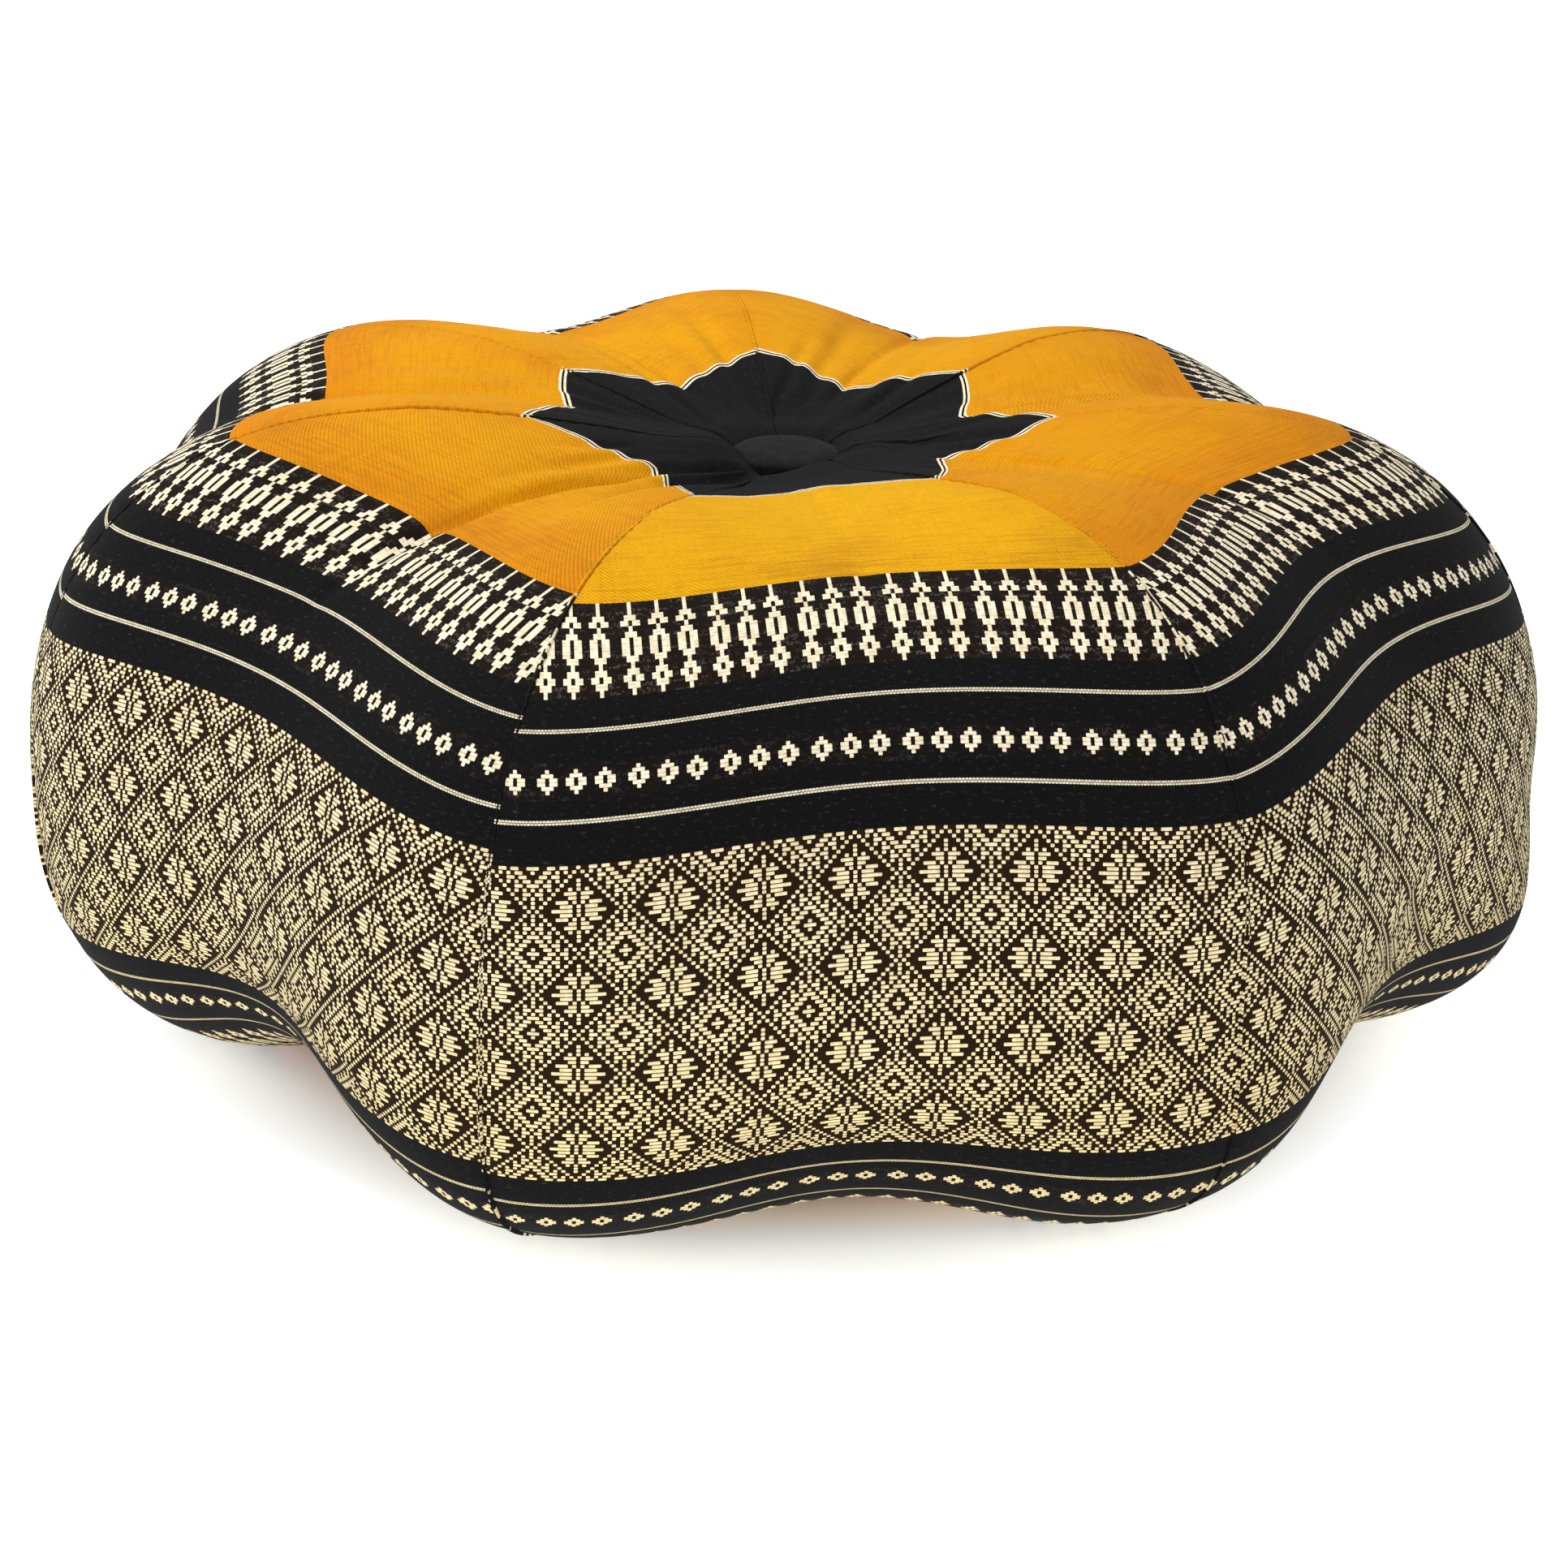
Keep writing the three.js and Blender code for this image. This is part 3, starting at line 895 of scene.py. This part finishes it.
def new_group(name, inputs, outputs):
    """A shader node group with float inputs and outputs. Returns it, its input terms and its output pins."""
    tree = bpy.data.node_groups.new(name, "ShaderNodeTree")
    for way, titles in (("INPUT", inputs), ("OUTPUT", outputs)):
        for title in titles:
            tree.interface.new_socket(name=title, in_out=way, socket_type="NodeSocketFloat")
    entry = tree.nodes.new("NodeGroupInput")
    leave = tree.nodes.new("NodeGroupOutput")
    return tree, [Term(tree, entry.outputs[title]) for title in inputs], leave.inputs


def placed(tree, group, *values):
    """A group put into a tree with its inputs fed in order. Returns its output terms in order."""
    node = tree.nodes.new("ShaderNodeGroup")
    node.node_tree = group
    for pin, value in zip(node.inputs, values):
        feed(tree, pin, value)
    return [Term(tree, pin) for pin in node.outputs]


def draft_group(name, draft):
    """1 where the weft floats over a thread, from a draft's row and the thread's distance from the middle.

    Each row is stored as one number, the sum of 2^place over its Xs, and the thread's bit is picked out
    as floor(number / 2^distance) mod 2.
    """
    tree, (row, distance), leave = new_group(name, ["Row", "Distance"], ["On"])
    span = 2 ** len(draft[0])
    node = tree.nodes.new("ShaderNodeValToRGB")
    node.color_ramp.interpolation = "CONSTANT"
    stops = node.color_ramp.elements
    stops.remove(stops[1])
    for index, marks in enumerate(draft):
        level = sum(2 ** place for place, mark in enumerate(marks) if mark == "X") / span
        stop = stops[0] if index == 0 else stops.new(index / len(draft))
        stop.position = index / len(draft)
        stop.color = (level, level, level, 1)
    feed(tree, node.inputs[0], (row + 0.5) / len(draft))
    code = Term(tree, node.outputs["Color"]) * span + 0.25
    power = tree.nodes.new("ShaderNodeMath")
    power.operation = "POWER"
    power.inputs[0].default_value = 2.0
    feed(tree, power.inputs[1], distance)
    on = (code / Term(tree, power.outputs[0])).floor().wrapped(2.0)
    feed(tree, leave["On"], on)
    return tree


def float_group():
    """The look of one float of the weft over one thread, from -0.5 to 0.5 across and along.

    A float ends in a half round unless the next thread on that side is covered as well.
    """
    tree, (on, joined, across, along, half), leave = new_group(
        "weft_float", ["On", "Joined", "Across", "Along", "Half width"], ["Cover", "Height"]
    )
    past = (across.size() - 0.20).most(0.0)
    off = chosen(joined, (past * past + along * along).math("SQRT"), along.size())
    cover = on * (off / half).ramped(1.06, 0.86)
    round_top = ((off / half).math("POWER", 2.0).flipped()).most(0.0).math("SQRT")
    feed(tree, leave["Cover"], cover)
    feed(tree, leave["Height"], on * round_top)
    return tree


def mirrored(column, period):
    """Whole columns from the nearest middle of a repeat."""
    return ((column.math("ROUND") + period / 2).wrapped(period) - period / 2).size()


def motif_distance(column):
    """Columns from the nearest small motif, three of which stand 7, 7 and 8 columns apart in a repeat."""
    distance = mirrored(column, 22.0)
    return chosen(distance.above(3.5), distance, (distance - 7.0).size())


def band_group(name, draft, distance_of, start, fold_rows, half):
    """A figured band: its cover and height from the column and the pick.

    Rows are counted from start, towards the axis if start is the band's nearer end to the equator. With
    fold_rows the draft's rows run there and back, as |rows - (row mod 2 rows)|.
    """
    tree, (column, pick), leave = new_group(name, ["Column", "Pick"], ["Cover", "Height"])
    bits = draft_group(name + "_draft", draft)
    if fold_rows:
        whole = pick.math("ROUND")
        row = (whole.wrapped(2.0 * fold_rows) - fold_rows).size()
        along = pick - whole
    else:
        climb = pick * -1 + start
        row = climb.floor()
        along = climb - row - 0.5
    thread = column.math("ROUND")
    across = column - thread
    beside = thread + across.math("SIGN")
    on, = placed(tree, bits, row, distance_of(thread))
    joined, = placed(tree, bits, row, distance_of(beside))
    cover, height = placed(tree, bpy.data.node_groups["weft_float"], on, joined, across, along, half)
    feed(tree, leave["Cover"], cover)
    feed(tree, leave["Height"], height)
    return tree


def line_group():
    """A thin line of two rows of short floats, each row half a float out of step with the other."""
    tree, (column, offset), leave = new_group("pin_line", ["Column", "Offset"], ["Cover", "Height"])
    row = (offset / 0.60).floor()
    along = offset / 0.60 - row - 0.5
    place = column / 0.86 + row * 0.5
    across = place - place.math("ROUND")
    end = (across.size() - 0.16).most(0.0)
    off = (end * end * 1.6 + along * along).math("SQRT")
    inside = offset.size().below(0.60)
    feed(tree, leave["Cover"], inside * off.ramped(0.48, 0.36))
    feed(tree, leave["Height"], inside * off.ramped(0.50, 0.10))
    return tree


def ground_group():
    """Plain black ground: its threads' height, and a speckle of lint and of weft that shows through."""
    tree, (column, pick), leave = new_group(
        "plain_ground", ["Column", "Pick"], ["Height", "Speckle", "Ghost"]
    )
    warp = ((column * 2.0).wrapped(1.0) - 0.5).size()
    weft = ((pick * 2.0).wrapped(1.0) - 0.5).size()
    feed(tree, leave["Height"], ((warp.most(weft)) * 1.6).flipped())
    fibre = noise(combined(column * 0.55, pick * 1.1), 1.0, 3.0, 0.65)
    feed(tree, leave["Speckle"], fibre.ramped(0.56, 0.78))
    thread = scatter(combined((column * 2.0).floor(), (pick * 2.0).floor()))
    streak = noise(combined(column * 0.12, pick.math("ROUND") * 0.9), 1.0, 2.0, 0.6)
    feed(tree, leave["Ghost"], thread.above(0.62) * streak.ramped(0.48, 0.66))
    return tree


def twill_group():
    """Orange shot twill: the dark ends that show in diagonal lines between the picks, and its height."""
    tree, (column, pick), leave = new_group("shot_twill", ["Column", "Pick"], ["Dark", "Height"])
    end = column * 2.0
    shot = pick * 2.0
    rank = (end.floor() + shot.floor()).wrapped(3.0)
    across = (end.wrapped(1.0) - 0.5).size()
    along = (shot.wrapped(1.0) - 0.5).size()
    dot = (across * 1.1).most(along * 0.8).ramped(0.52, 0.30)
    thread = scatter(combined(end.floor(), (shot / 14.0).floor()))
    low = rank.below(0.5)
    feed(tree, leave["Dark"], low * dot * (thread * 0.5 + 0.5))
    feed(tree, leave["Height"], (across.most(along) * 1.5).flipped() * (low * -0.7 + 1.0))
    return tree


def principled(material, **sockets):
    """The material's Principled shader, with constant sockets set by name."""
    shader = material.node_tree.nodes["Principled BSDF"]
    for title, value in sockets.items():
        feed(material.node_tree, shader.inputs[title.replace("_", " ")], value)
    return shader


def new_material(name, preview):
    """An empty node material with a preview colour for the viewport."""
    material = bpy.data.materials.new(name)
    material.use_nodes = True
    material.diffuse_color = (*preview, 1.0)
    return material


def bumped(tree, height, distance, strength=1.0):
    """A normal from a height from 0 to 1 that stands for a real distance in metres."""
    node = tree.nodes.new("ShaderNodeBump")
    node.inputs["Strength"].default_value = strength
    node.inputs["Distance"].default_value = distance
    feed(tree, node.inputs["Height"], height)
    return Term(tree, node.outputs["Normal"])


def object_place(tree):
    """The place on a piece in its own coordinates, which are metres in the CAD frame."""
    return Term(tree, tree.nodes.new("ShaderNodeTexCoord").outputs["Object"])


def parts(vector):
    """A vector's three numbers."""
    split = vector.tree.nodes.new("ShaderNodeSeparateXYZ")
    feed(vector.tree, split.inputs[0], vector)
    return [Term(vector.tree, pin) for pin in split.outputs]


def carried_value(tree, name):
    """A value that the mesh carries at its points."""
    node = tree.nodes.new("ShaderNodeAttribute")
    node.attribute_name = name
    return Term(tree, node.outputs["Fac"])


def woven_cloth_material(cloth):
    """The cover's cloth: each band is found from the pick, and each thread from the column and the pick.

    The plain band mixes orange and amber. Beside the seams and towards the band's outer edge, its amber and
    its dark ends grow as painted shade, and each panel's share of amber is a painted shot sheen. Random
    patches add to both. Low on the sides the weft turns from cream to straw, which is painted shade.
    """
    material = new_material("woven_cloth", cloth.cream)
    tree = material.node_tree
    threads = tree.nodes.new("ShaderNodeUVMap")
    threads.uv_map = "threads"
    column, pick, _ = parts(Term(tree, threads.outputs["UV"]))
    pick = pick.size()
    seam_gap, warmth = (carried_value(tree, name) for name in ("seam_distance", "warmth"))
    position = object_place(tree)

    float_group()
    brocade = band_group("brocade", BROCADE_DRAFT, lambda c: mirrored(c, 22.0), 0.0, 10.0, 0.43)
    diamonds = band_group(
        "small_diamonds", DIAMOND_DRAFT, motif_distance, DIAMONDS_START + len(DIAMOND_DRAFT), 0, 0.51
    )
    spindles = band_group("spindles", SPINDLE_DRAFT, motif_distance, ORANGE_START, 0, 0.56)
    pin_line = line_group()
    in_brocade = pick.below(BROCADE_END)
    in_diamonds = pick.between(DIAMONDS_START, DIAMONDS_START + len(DIAMOND_DRAFT))
    in_spindles = pick.between(SPINDLES_START, ORANGE_START)
    in_orange = pick.between(ORANGE_START, STAR_LINES_START + 0.5)
    in_star = pick.above(STAR_LINES_START + 0.5)

    cover = None
    height = None
    for inside, group in ((in_brocade, brocade), (in_diamonds, diamonds), (in_spindles, spindles)):
        part, lift = (inside * term for term in placed(tree, group, column, pick))
        cover = part if cover is None else cover + part
        height = lift if height is None else height + lift
    for centre in (INNER_LINE, OUTER_LINE):
        part, lift = placed(tree, pin_line, column, pick - centre)
        cover = cover + part
        height = height + lift
    star_line = (pick - STAR_LINES_START - 0.4).size().ramped(0.50, 0.38)
    star_line = star_line.most((pick - STAR_LINES_END + 0.3).size().ramped(0.50, 0.38))
    cover = cover.most(star_line)
    height = height.most(star_line * 0.5)

    ground_height, speckle, ghost = placed(tree, ground_group(), column, pick)
    dark, twill_height = placed(tree, twill_group(), column, pick)
    figured = in_spindles.most(pick.between(DIAMONDS_START - 1.5, DIAMONDS_START + 7.5) * 0.3)
    ground = mixed((figured * 0.4).most(in_brocade), cloth.black, cloth.umber)
    ground = mixed(ghost * figured * 0.45, ground, (0.13, 0.105, 0.095))
    ground = mixed(in_star, ground, cloth.star_black)
    ground = mixed(speckle * (in_brocade.flipped()) * 0.30, ground, cloth.lint)

    cloud = noise(position, 26.0, 3.0, 0.6)
    shot_streak = noise(combined(column * 0.9, pick * 0.045), 1.0, 2.0, 0.6)
    drawn = noise(combined(column * 0.05, pick * 0.9), 1.0, 3.0, 0.7)
    outer_edge = pick.ramped(ORANGE_START + 34, ORANGE_START)
    # Painted shade: the amber grows towards the band's outer edge and beside the seams. warmth is each
    # panel's painted shot sheen, and drawn and cloud add random tone.
    warm = outer_edge * (warmth + 0.15) * 0.6 + seam_gap.ramped(0.020, 0.0) * 0.15
    warm = warm + warmth + drawn.ramped(0.48, 0.72) * 0.30
    warm = (warm + cloud.ramped(0.45, 0.75) * 0.20) * (shot_streak * 0.6 + 0.7)
    band = mixed(warm.least(1.0), cloth.orange, cloth.amber)
    # Painted shade: more dark ends show beside the seams over the band's outer part.
    outer_seam_shade = seam_gap.ramped(0.024, 0.001) * pick.ramped(ORANGE_START + 42, ORANGE_START + 6)
    dark_share = (outer_seam_shade * cloud.ramped(0.30, 0.62) * 0.75 + 0.72) * dark
    band = mixed(dark_share.least(1.0), band, cloth.bronze)
    # Random patches of bronze, with painted shade that strengthens them towards the band's outer edge.
    patches_and_edge_shade = (drawn * 0.6 + cloud * 0.4).ramped(0.46, 0.62) * (outer_edge * 0.5 + 0.24)
    band = mixed(patches_and_edge_shade * (dark * 0.6 + 0.5), band, cloth.bronze)
    pale = scatter(combined(column.math("ROUND") * 0.1, (pick * 2.0).floor()))
    band = mixed(pale * 0.16, band, [v * 0.35 for v in cloth.orange])
    ground = mixed(in_orange, ground, band)

    strand = scatter(combined(column.math("ROUND") * 0.125, pick.math("ROUND")))
    # Painted shade: low on the sides the cream turns to straw, and the bands beside the brocade turn less
    # pale.
    painted_low_shade = parts(position)[2].ramped(0.15, 0.03)
    cream = mixed(painted_low_shade * 0.8, cloth.cream, cloth.straw)
    paler = pick.ramped(BROCADE_END, INNER_LINE) * (painted_low_shade * -0.7 + 0.8)
    cream = mixed(paler.most(0.0), cream, cloth.ivory)
    cream = mixed(strand.ramped(0.0, 1.0) * 0.45 + cloud * 0.2, cream, [v * 0.62 for v in cloth.straw])
    colour = mixed(cover.least(1.0), ground, cream)

    base_height = chosen(in_orange, ground_height * 0.22, twill_height * 0.30)
    full_height = base_height.most(height)
    shader = principled(
        material, Sheen_Weight=0.015, Sheen_Roughness=0.5, Specular_IOR_Level=0.05
    )
    feed(tree, shader.inputs["Base Color"], colour)
    feed(tree, shader.inputs["Roughness"], chosen(cover.least(1.0), 0.88, 0.62))
    feed(tree, shader.inputs["Normal"], bumped(tree, full_height, FLOAT_RELIEF, 0.9))
    return material


def object_noise(tree, scale, detail=3.0, rough=0.6, stretch=(1.0, 1.0, 1.0)):
    """Noise on the piece's own coordinates, stretched along its axes."""
    stretched = tree.nodes.new("ShaderNodeMapping")
    stretched.inputs["Scale"].default_value = stretch
    feed(tree, stretched.inputs["Vector"], object_place(tree))
    return noise(Term(tree, stretched.outputs["Vector"]), scale, detail, rough)


def button_material(cloth):
    """Matte black cotton with its plain weave, drawn tight: threads from Object coordinates."""
    material = new_material("button_cotton", cloth.star_black)
    tree = material.node_tree
    x, y, _ = parts(object_place(tree))
    pitch = cloth.column_pitch
    height, speckle, _ = placed(tree, bpy.data.node_groups["plain_ground"], x / pitch, y / pitch)
    haze = object_noise(tree, 160.0)
    colour = mixed(speckle * 0.18 + haze.ramped(0.4, 0.8) * 0.08, cloth.star_black, cloth.lint)
    shader = principled(
        material, Roughness=0.9, Sheen_Weight=0.03, Sheen_Roughness=0.5, Specular_IOR_Level=0.08
    )
    feed(tree, shader.inputs["Base Color"], colour)
    feed(tree, shader.inputs["Normal"], bumped(tree, height, 0.00015, 0.8))
    return material


def kapok_material(trim):
    """Silky fibres: two crossing stretched noises for colour and height."""
    material = new_material("kapok_fibre", trim.kapok)
    tree = material.node_tree
    fibres = object_noise(tree, 300.0, 4.0, 0.7, (0.3, 1.0, 1.0)) * 0.5 + object_noise(
        tree, 300.0, 4.0, 0.7, (1.0, 0.3, 1.0)) * 0.5
    colour = mixed(fibres.ramped(0.35, 0.65), [v * 0.72 for v in trim.kapok], trim.kapok)
    shader = principled(material, Roughness=0.7, Sheen_Weight=0.5, Sheen_Roughness=0.3)
    feed(tree, shader.inputs["Base Color"], colour)
    feed(tree, shader.inputs["Normal"], bumped(tree, fibres, 0.0008, 0.8))
    return material


def wood_material(trim):
    """Turned wood: growth rings as sin(k (r + noise)) about the core's own X axis, with fine pores."""
    material = new_material("turned_wood", trim.wood)
    tree = material.node_tree
    _, y, z = parts(object_place(tree))
    warp = object_noise(tree, 40.0, 2.0, 0.5) * 0.004
    rings = (((y * y + z * z).math("SQRT") + warp) * 2600.0).math("SINE") * 0.5 + 0.5
    pores = object_noise(tree, 900.0, 3.0, 0.6, (0.08, 1.0, 1.0)).ramped(0.50, 0.72)
    colour = mixed(rings * 0.6 + pores * 0.3, trim.wood, [v * 0.55 for v in trim.wood])
    shader = principled(material, Specular_IOR_Level=0.4)
    feed(tree, shader.inputs["Base Color"], colour)
    feed(tree, shader.inputs["Roughness"], pores * 0.2 + 0.55)
    feed(tree, shader.inputs["Normal"], bumped(tree, pores, 0.0001, 0.6))
    return material


def twine_material(trim):
    """Spun cotton twine: fibres stretched along it, darker where noise is low."""
    material = new_material("cotton_twine", trim.twine)
    tree = material.node_tree
    fibres = object_noise(tree, 1400.0, 3.0, 0.6, (1.0, 1.0, 0.25))
    colour = mixed(fibres.ramped(0.3, 0.7), [v * 0.6 for v in trim.twine], trim.twine)
    shader = principled(material, Roughness=0.85, Sheen_Weight=0.3)
    feed(tree, shader.inputs["Base Color"], colour)
    feed(tree, shader.inputs["Normal"], bumped(tree, fibres, 0.0002, 0.8))
    return material


def floor_material(glow):
    """Pale matte paper with a faint mottle and a painted glow, as though lit from below.

    The glow rises with the distance from the axis, from none under the cushion, which paints a contact
    shadow round the base.
    """
    material = new_material("pale_floor", (0.9, 0.9, 0.9))
    tree = material.node_tree
    mottle = object_noise(tree, 3.0)
    x, y, _ = parts(object_place(tree))
    x = x - AXIS.x
    y = y - AXIS.y
    shader = principled(material, Roughness=0.9, Specular_IOR_Level=0.1, Emission_Strength=glow)
    # Painted light and shadow: the glow starts beyond the cushion's base, so the unlit ring paints a soft
    # contact shadow.
    painted_glow_share = (x * x + y * y).math("SQRT").ramped(0.145, 0.235)
    feed(tree, shader.inputs["Emission Color"], mixed(painted_glow_share, (0.0, 0.0, 0.0), (0.96, 0.99, 1.0)))
    feed(tree, shader.inputs["Base Color"], mixed(mottle, (0.87, 0.91, 0.94), (0.89, 0.93, 0.96)))
    return material


# ---------------------------------------------------------------------------------------------
# Operators
# ---------------------------------------------------------------------------------------------

class CUSHION_OT_stage(Operator):
    """Sets the camera, the pale floor, the white surroundings and the two soft lamps"""

    bl_idname = "cushion.stage"
    bl_label = "Studio"

    def execute(self, context):
        studio = context.scene.cushion_studio
        target = Vector((AXIS.x, AXIS.y, studio.aim_height))
        rise = math.radians(studio.elevation)
        back = Vector((0, -math.cos(rise), math.sin(rise)))
        lens = bpy.data.cameras.new("studio_camera")
        lens.sensor_width = 36.0
        lens.lens = studio.lens
        lens.shift_x = studio.shift_x
        lens.shift_y = studio.shift_y
        lens.clip_start = 0.01
        camera = bpy.data.objects.new("studio_camera", lens)
        upright = Matrix.Rotation(math.pi / 2 - rise, 4, "X")
        lean = Matrix.Rotation(math.radians(studio.roll), 4, "Z")
        camera.matrix_world = Matrix.Translation(target + back * studio.distance) @ upright @ lean
        context.scene.collection.objects.link(camera)
        context.scene.camera = camera

        self.lamp(context, "overhead_lamp", (-0.65, 0.35, 1.5), (0, 0, 0.1), 0.9, studio.key)
        self.lamp(context, "front_lamp", (-0.5, -2.2, 1.3), (0, 0, 0.1), 1.8, studio.fill)

        sky = bpy.data.worlds.new("white_surroundings")
        sky.use_nodes = True
        backdrop = sky.node_tree.nodes["Background"]
        backdrop.inputs["Color"].default_value = (1.0, 1.0, 1.0, 1.0)
        backdrop.inputs["Strength"].default_value = studio.sky
        context.scene.world = sky
        context.scene.view_settings.view_transform = "Standard"

        half = 8.0
        mesh = bpy.data.meshes.new("floor")
        corners = [(-half, -half, 0), (half, -half, 0), (half, half, 0), (-half, half, 0)]
        mesh.from_pydata(corners, [], [(0, 1, 2, 3)])
        floor = bpy.data.objects.new("floor", mesh)
        floor.data.materials.append(floor_material(studio.glow))
        context.scene.collection.objects.link(floor)
        return {"FINISHED"}

    @staticmethod
    def lamp(context, name, place, aim, width, power):
        """A square soft lamp at a place, turned to its aim."""
        light = bpy.data.lights.new(name, "AREA")
        light.size = width
        light.energy = power
        lamp = bpy.data.objects.new(name, light)
        lamp.location = place
        lamp.rotation_euler = (Vector(aim) - Vector(place)).to_track_quat("-Z", "Y").to_euler()
        context.scene.collection.objects.link(lamp)


class CUSHION_OT_stuffing(Operator):
    """Settles the cover afresh and makes the kapok stuffing under it"""

    bl_idname = "cushion.stuffing"
    bl_label = "Kapok stuffing"

    def execute(self, context):
        scene = context.scene
        SETTLED.clear()
        piece = kapok_stuffing(scene.cushion_shape)
        piece.data.materials.append(kapok_material(scene.cushion_trim))
        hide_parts("kapok_filling")
        return {"FINISHED"}


class CUSHION_OT_cover(Operator):
    """Makes the seven sewn panels of figured cloth"""

    bl_idname = "cushion.cover"
    bl_label = "Woven cover"

    def execute(self, context):
        shape = context.scene.cushion_shape
        cloth = context.scene.cushion_cloth
        material = woven_cloth_material(cloth)
        shifts = settled_shifts(shape)
        for panel in range(PANELS):
            piece, flat = sewn_panel(shape, cloth, panel, shifts[panel])
            piece.data.materials.append(material)
            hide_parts(f"cover_panel_{panel + 1}")
        return {"FINISHED"}


class CUSHION_OT_buttons(Operator):
    """Makes the two covered buttons and finishes their wooden cores"""

    bl_idname = "cushion.buttons"
    bl_label = "Buttons"

    def execute(self, context):
        cotton = button_material(context.scene.cushion_cloth)
        wood = wood_material(context.scene.cushion_trim)
        for end, up in (("top", 1), ("bottom", -1)):
            piece = covered_button(f"{end}_button", f"{end}_button_cloth", up)
            piece.data.materials.append(cotton)
            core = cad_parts[f"{end}_button_core"]
            for slot in core.material_slots:
                slot.material = wood
        return {"FINISHED"}


class CUSHION_OT_tie(Operator):
    """Makes the twine that ties the two buttons together"""

    bl_idname = "cushion.tie"
    bl_label = "Tie"

    def execute(self, context):
        trim = context.scene.cushion_trim
        piece = axis_tie(trim)
        piece.data.materials.append(twine_material(trim))
        return {"FINISHED"}


class CUSHION_PT_builder(Panel):
    """Lists the cushion's pieces and their sizes"""

    bl_idname = "CUSHION_PT_builder"
    bl_label = "Floor Cushion"
    bl_space_type = "VIEW_3D"
    bl_region_type = "UI"
    bl_category = "Cushion"

    def draw(self, context):
        for title in GROUPS:
            group = getattr(context.scene, title)
            box = self.layout.box()
            for name in group.bl_rna.properties.keys():
                if name not in ("rna_type", "name"):
                    box.prop(group, name)
        for operator in OPERATORS:
            self.layout.operator(operator.bl_idname)


# The kapok comes before the cover, which reuses the shifts that the stuffing settles.
OPERATORS = (CUSHION_OT_stage, CUSHION_OT_stuffing, CUSHION_OT_cover, CUSHION_OT_buttons, CUSHION_OT_tie)
GROUPS = {
    "cushion_shape": CushionShape,
    "cushion_cloth": CushionCloth,
    "cushion_trim": CushionTrim,
    "cushion_studio": CushionStudio,
}


def register():
    """Registers the classes and hangs the property groups on the scene."""
    for item in (*GROUPS.values(), *OPERATORS, CUSHION_PT_builder):
        bpy.utils.register_class(item)
    for name, group in GROUPS.items():
        setattr(bpy.types.Scene, name, PointerProperty(type=group))


def unregister():
    """Takes away what register added."""
    for name in GROUPS:
        delattr(bpy.types.Scene, name)
    for item in (CUSHION_PT_builder, *reversed(OPERATORS), *reversed(GROUPS.values())):
        bpy.utils.unregister_class(item)


def main():
    """Builds the stage and every piece."""
    register()
    for step in ("stage", "stuffing", "cover", "buttons", "tie"):
        getattr(bpy.ops.cushion, step)()


if __name__ == "__main__":
    main()
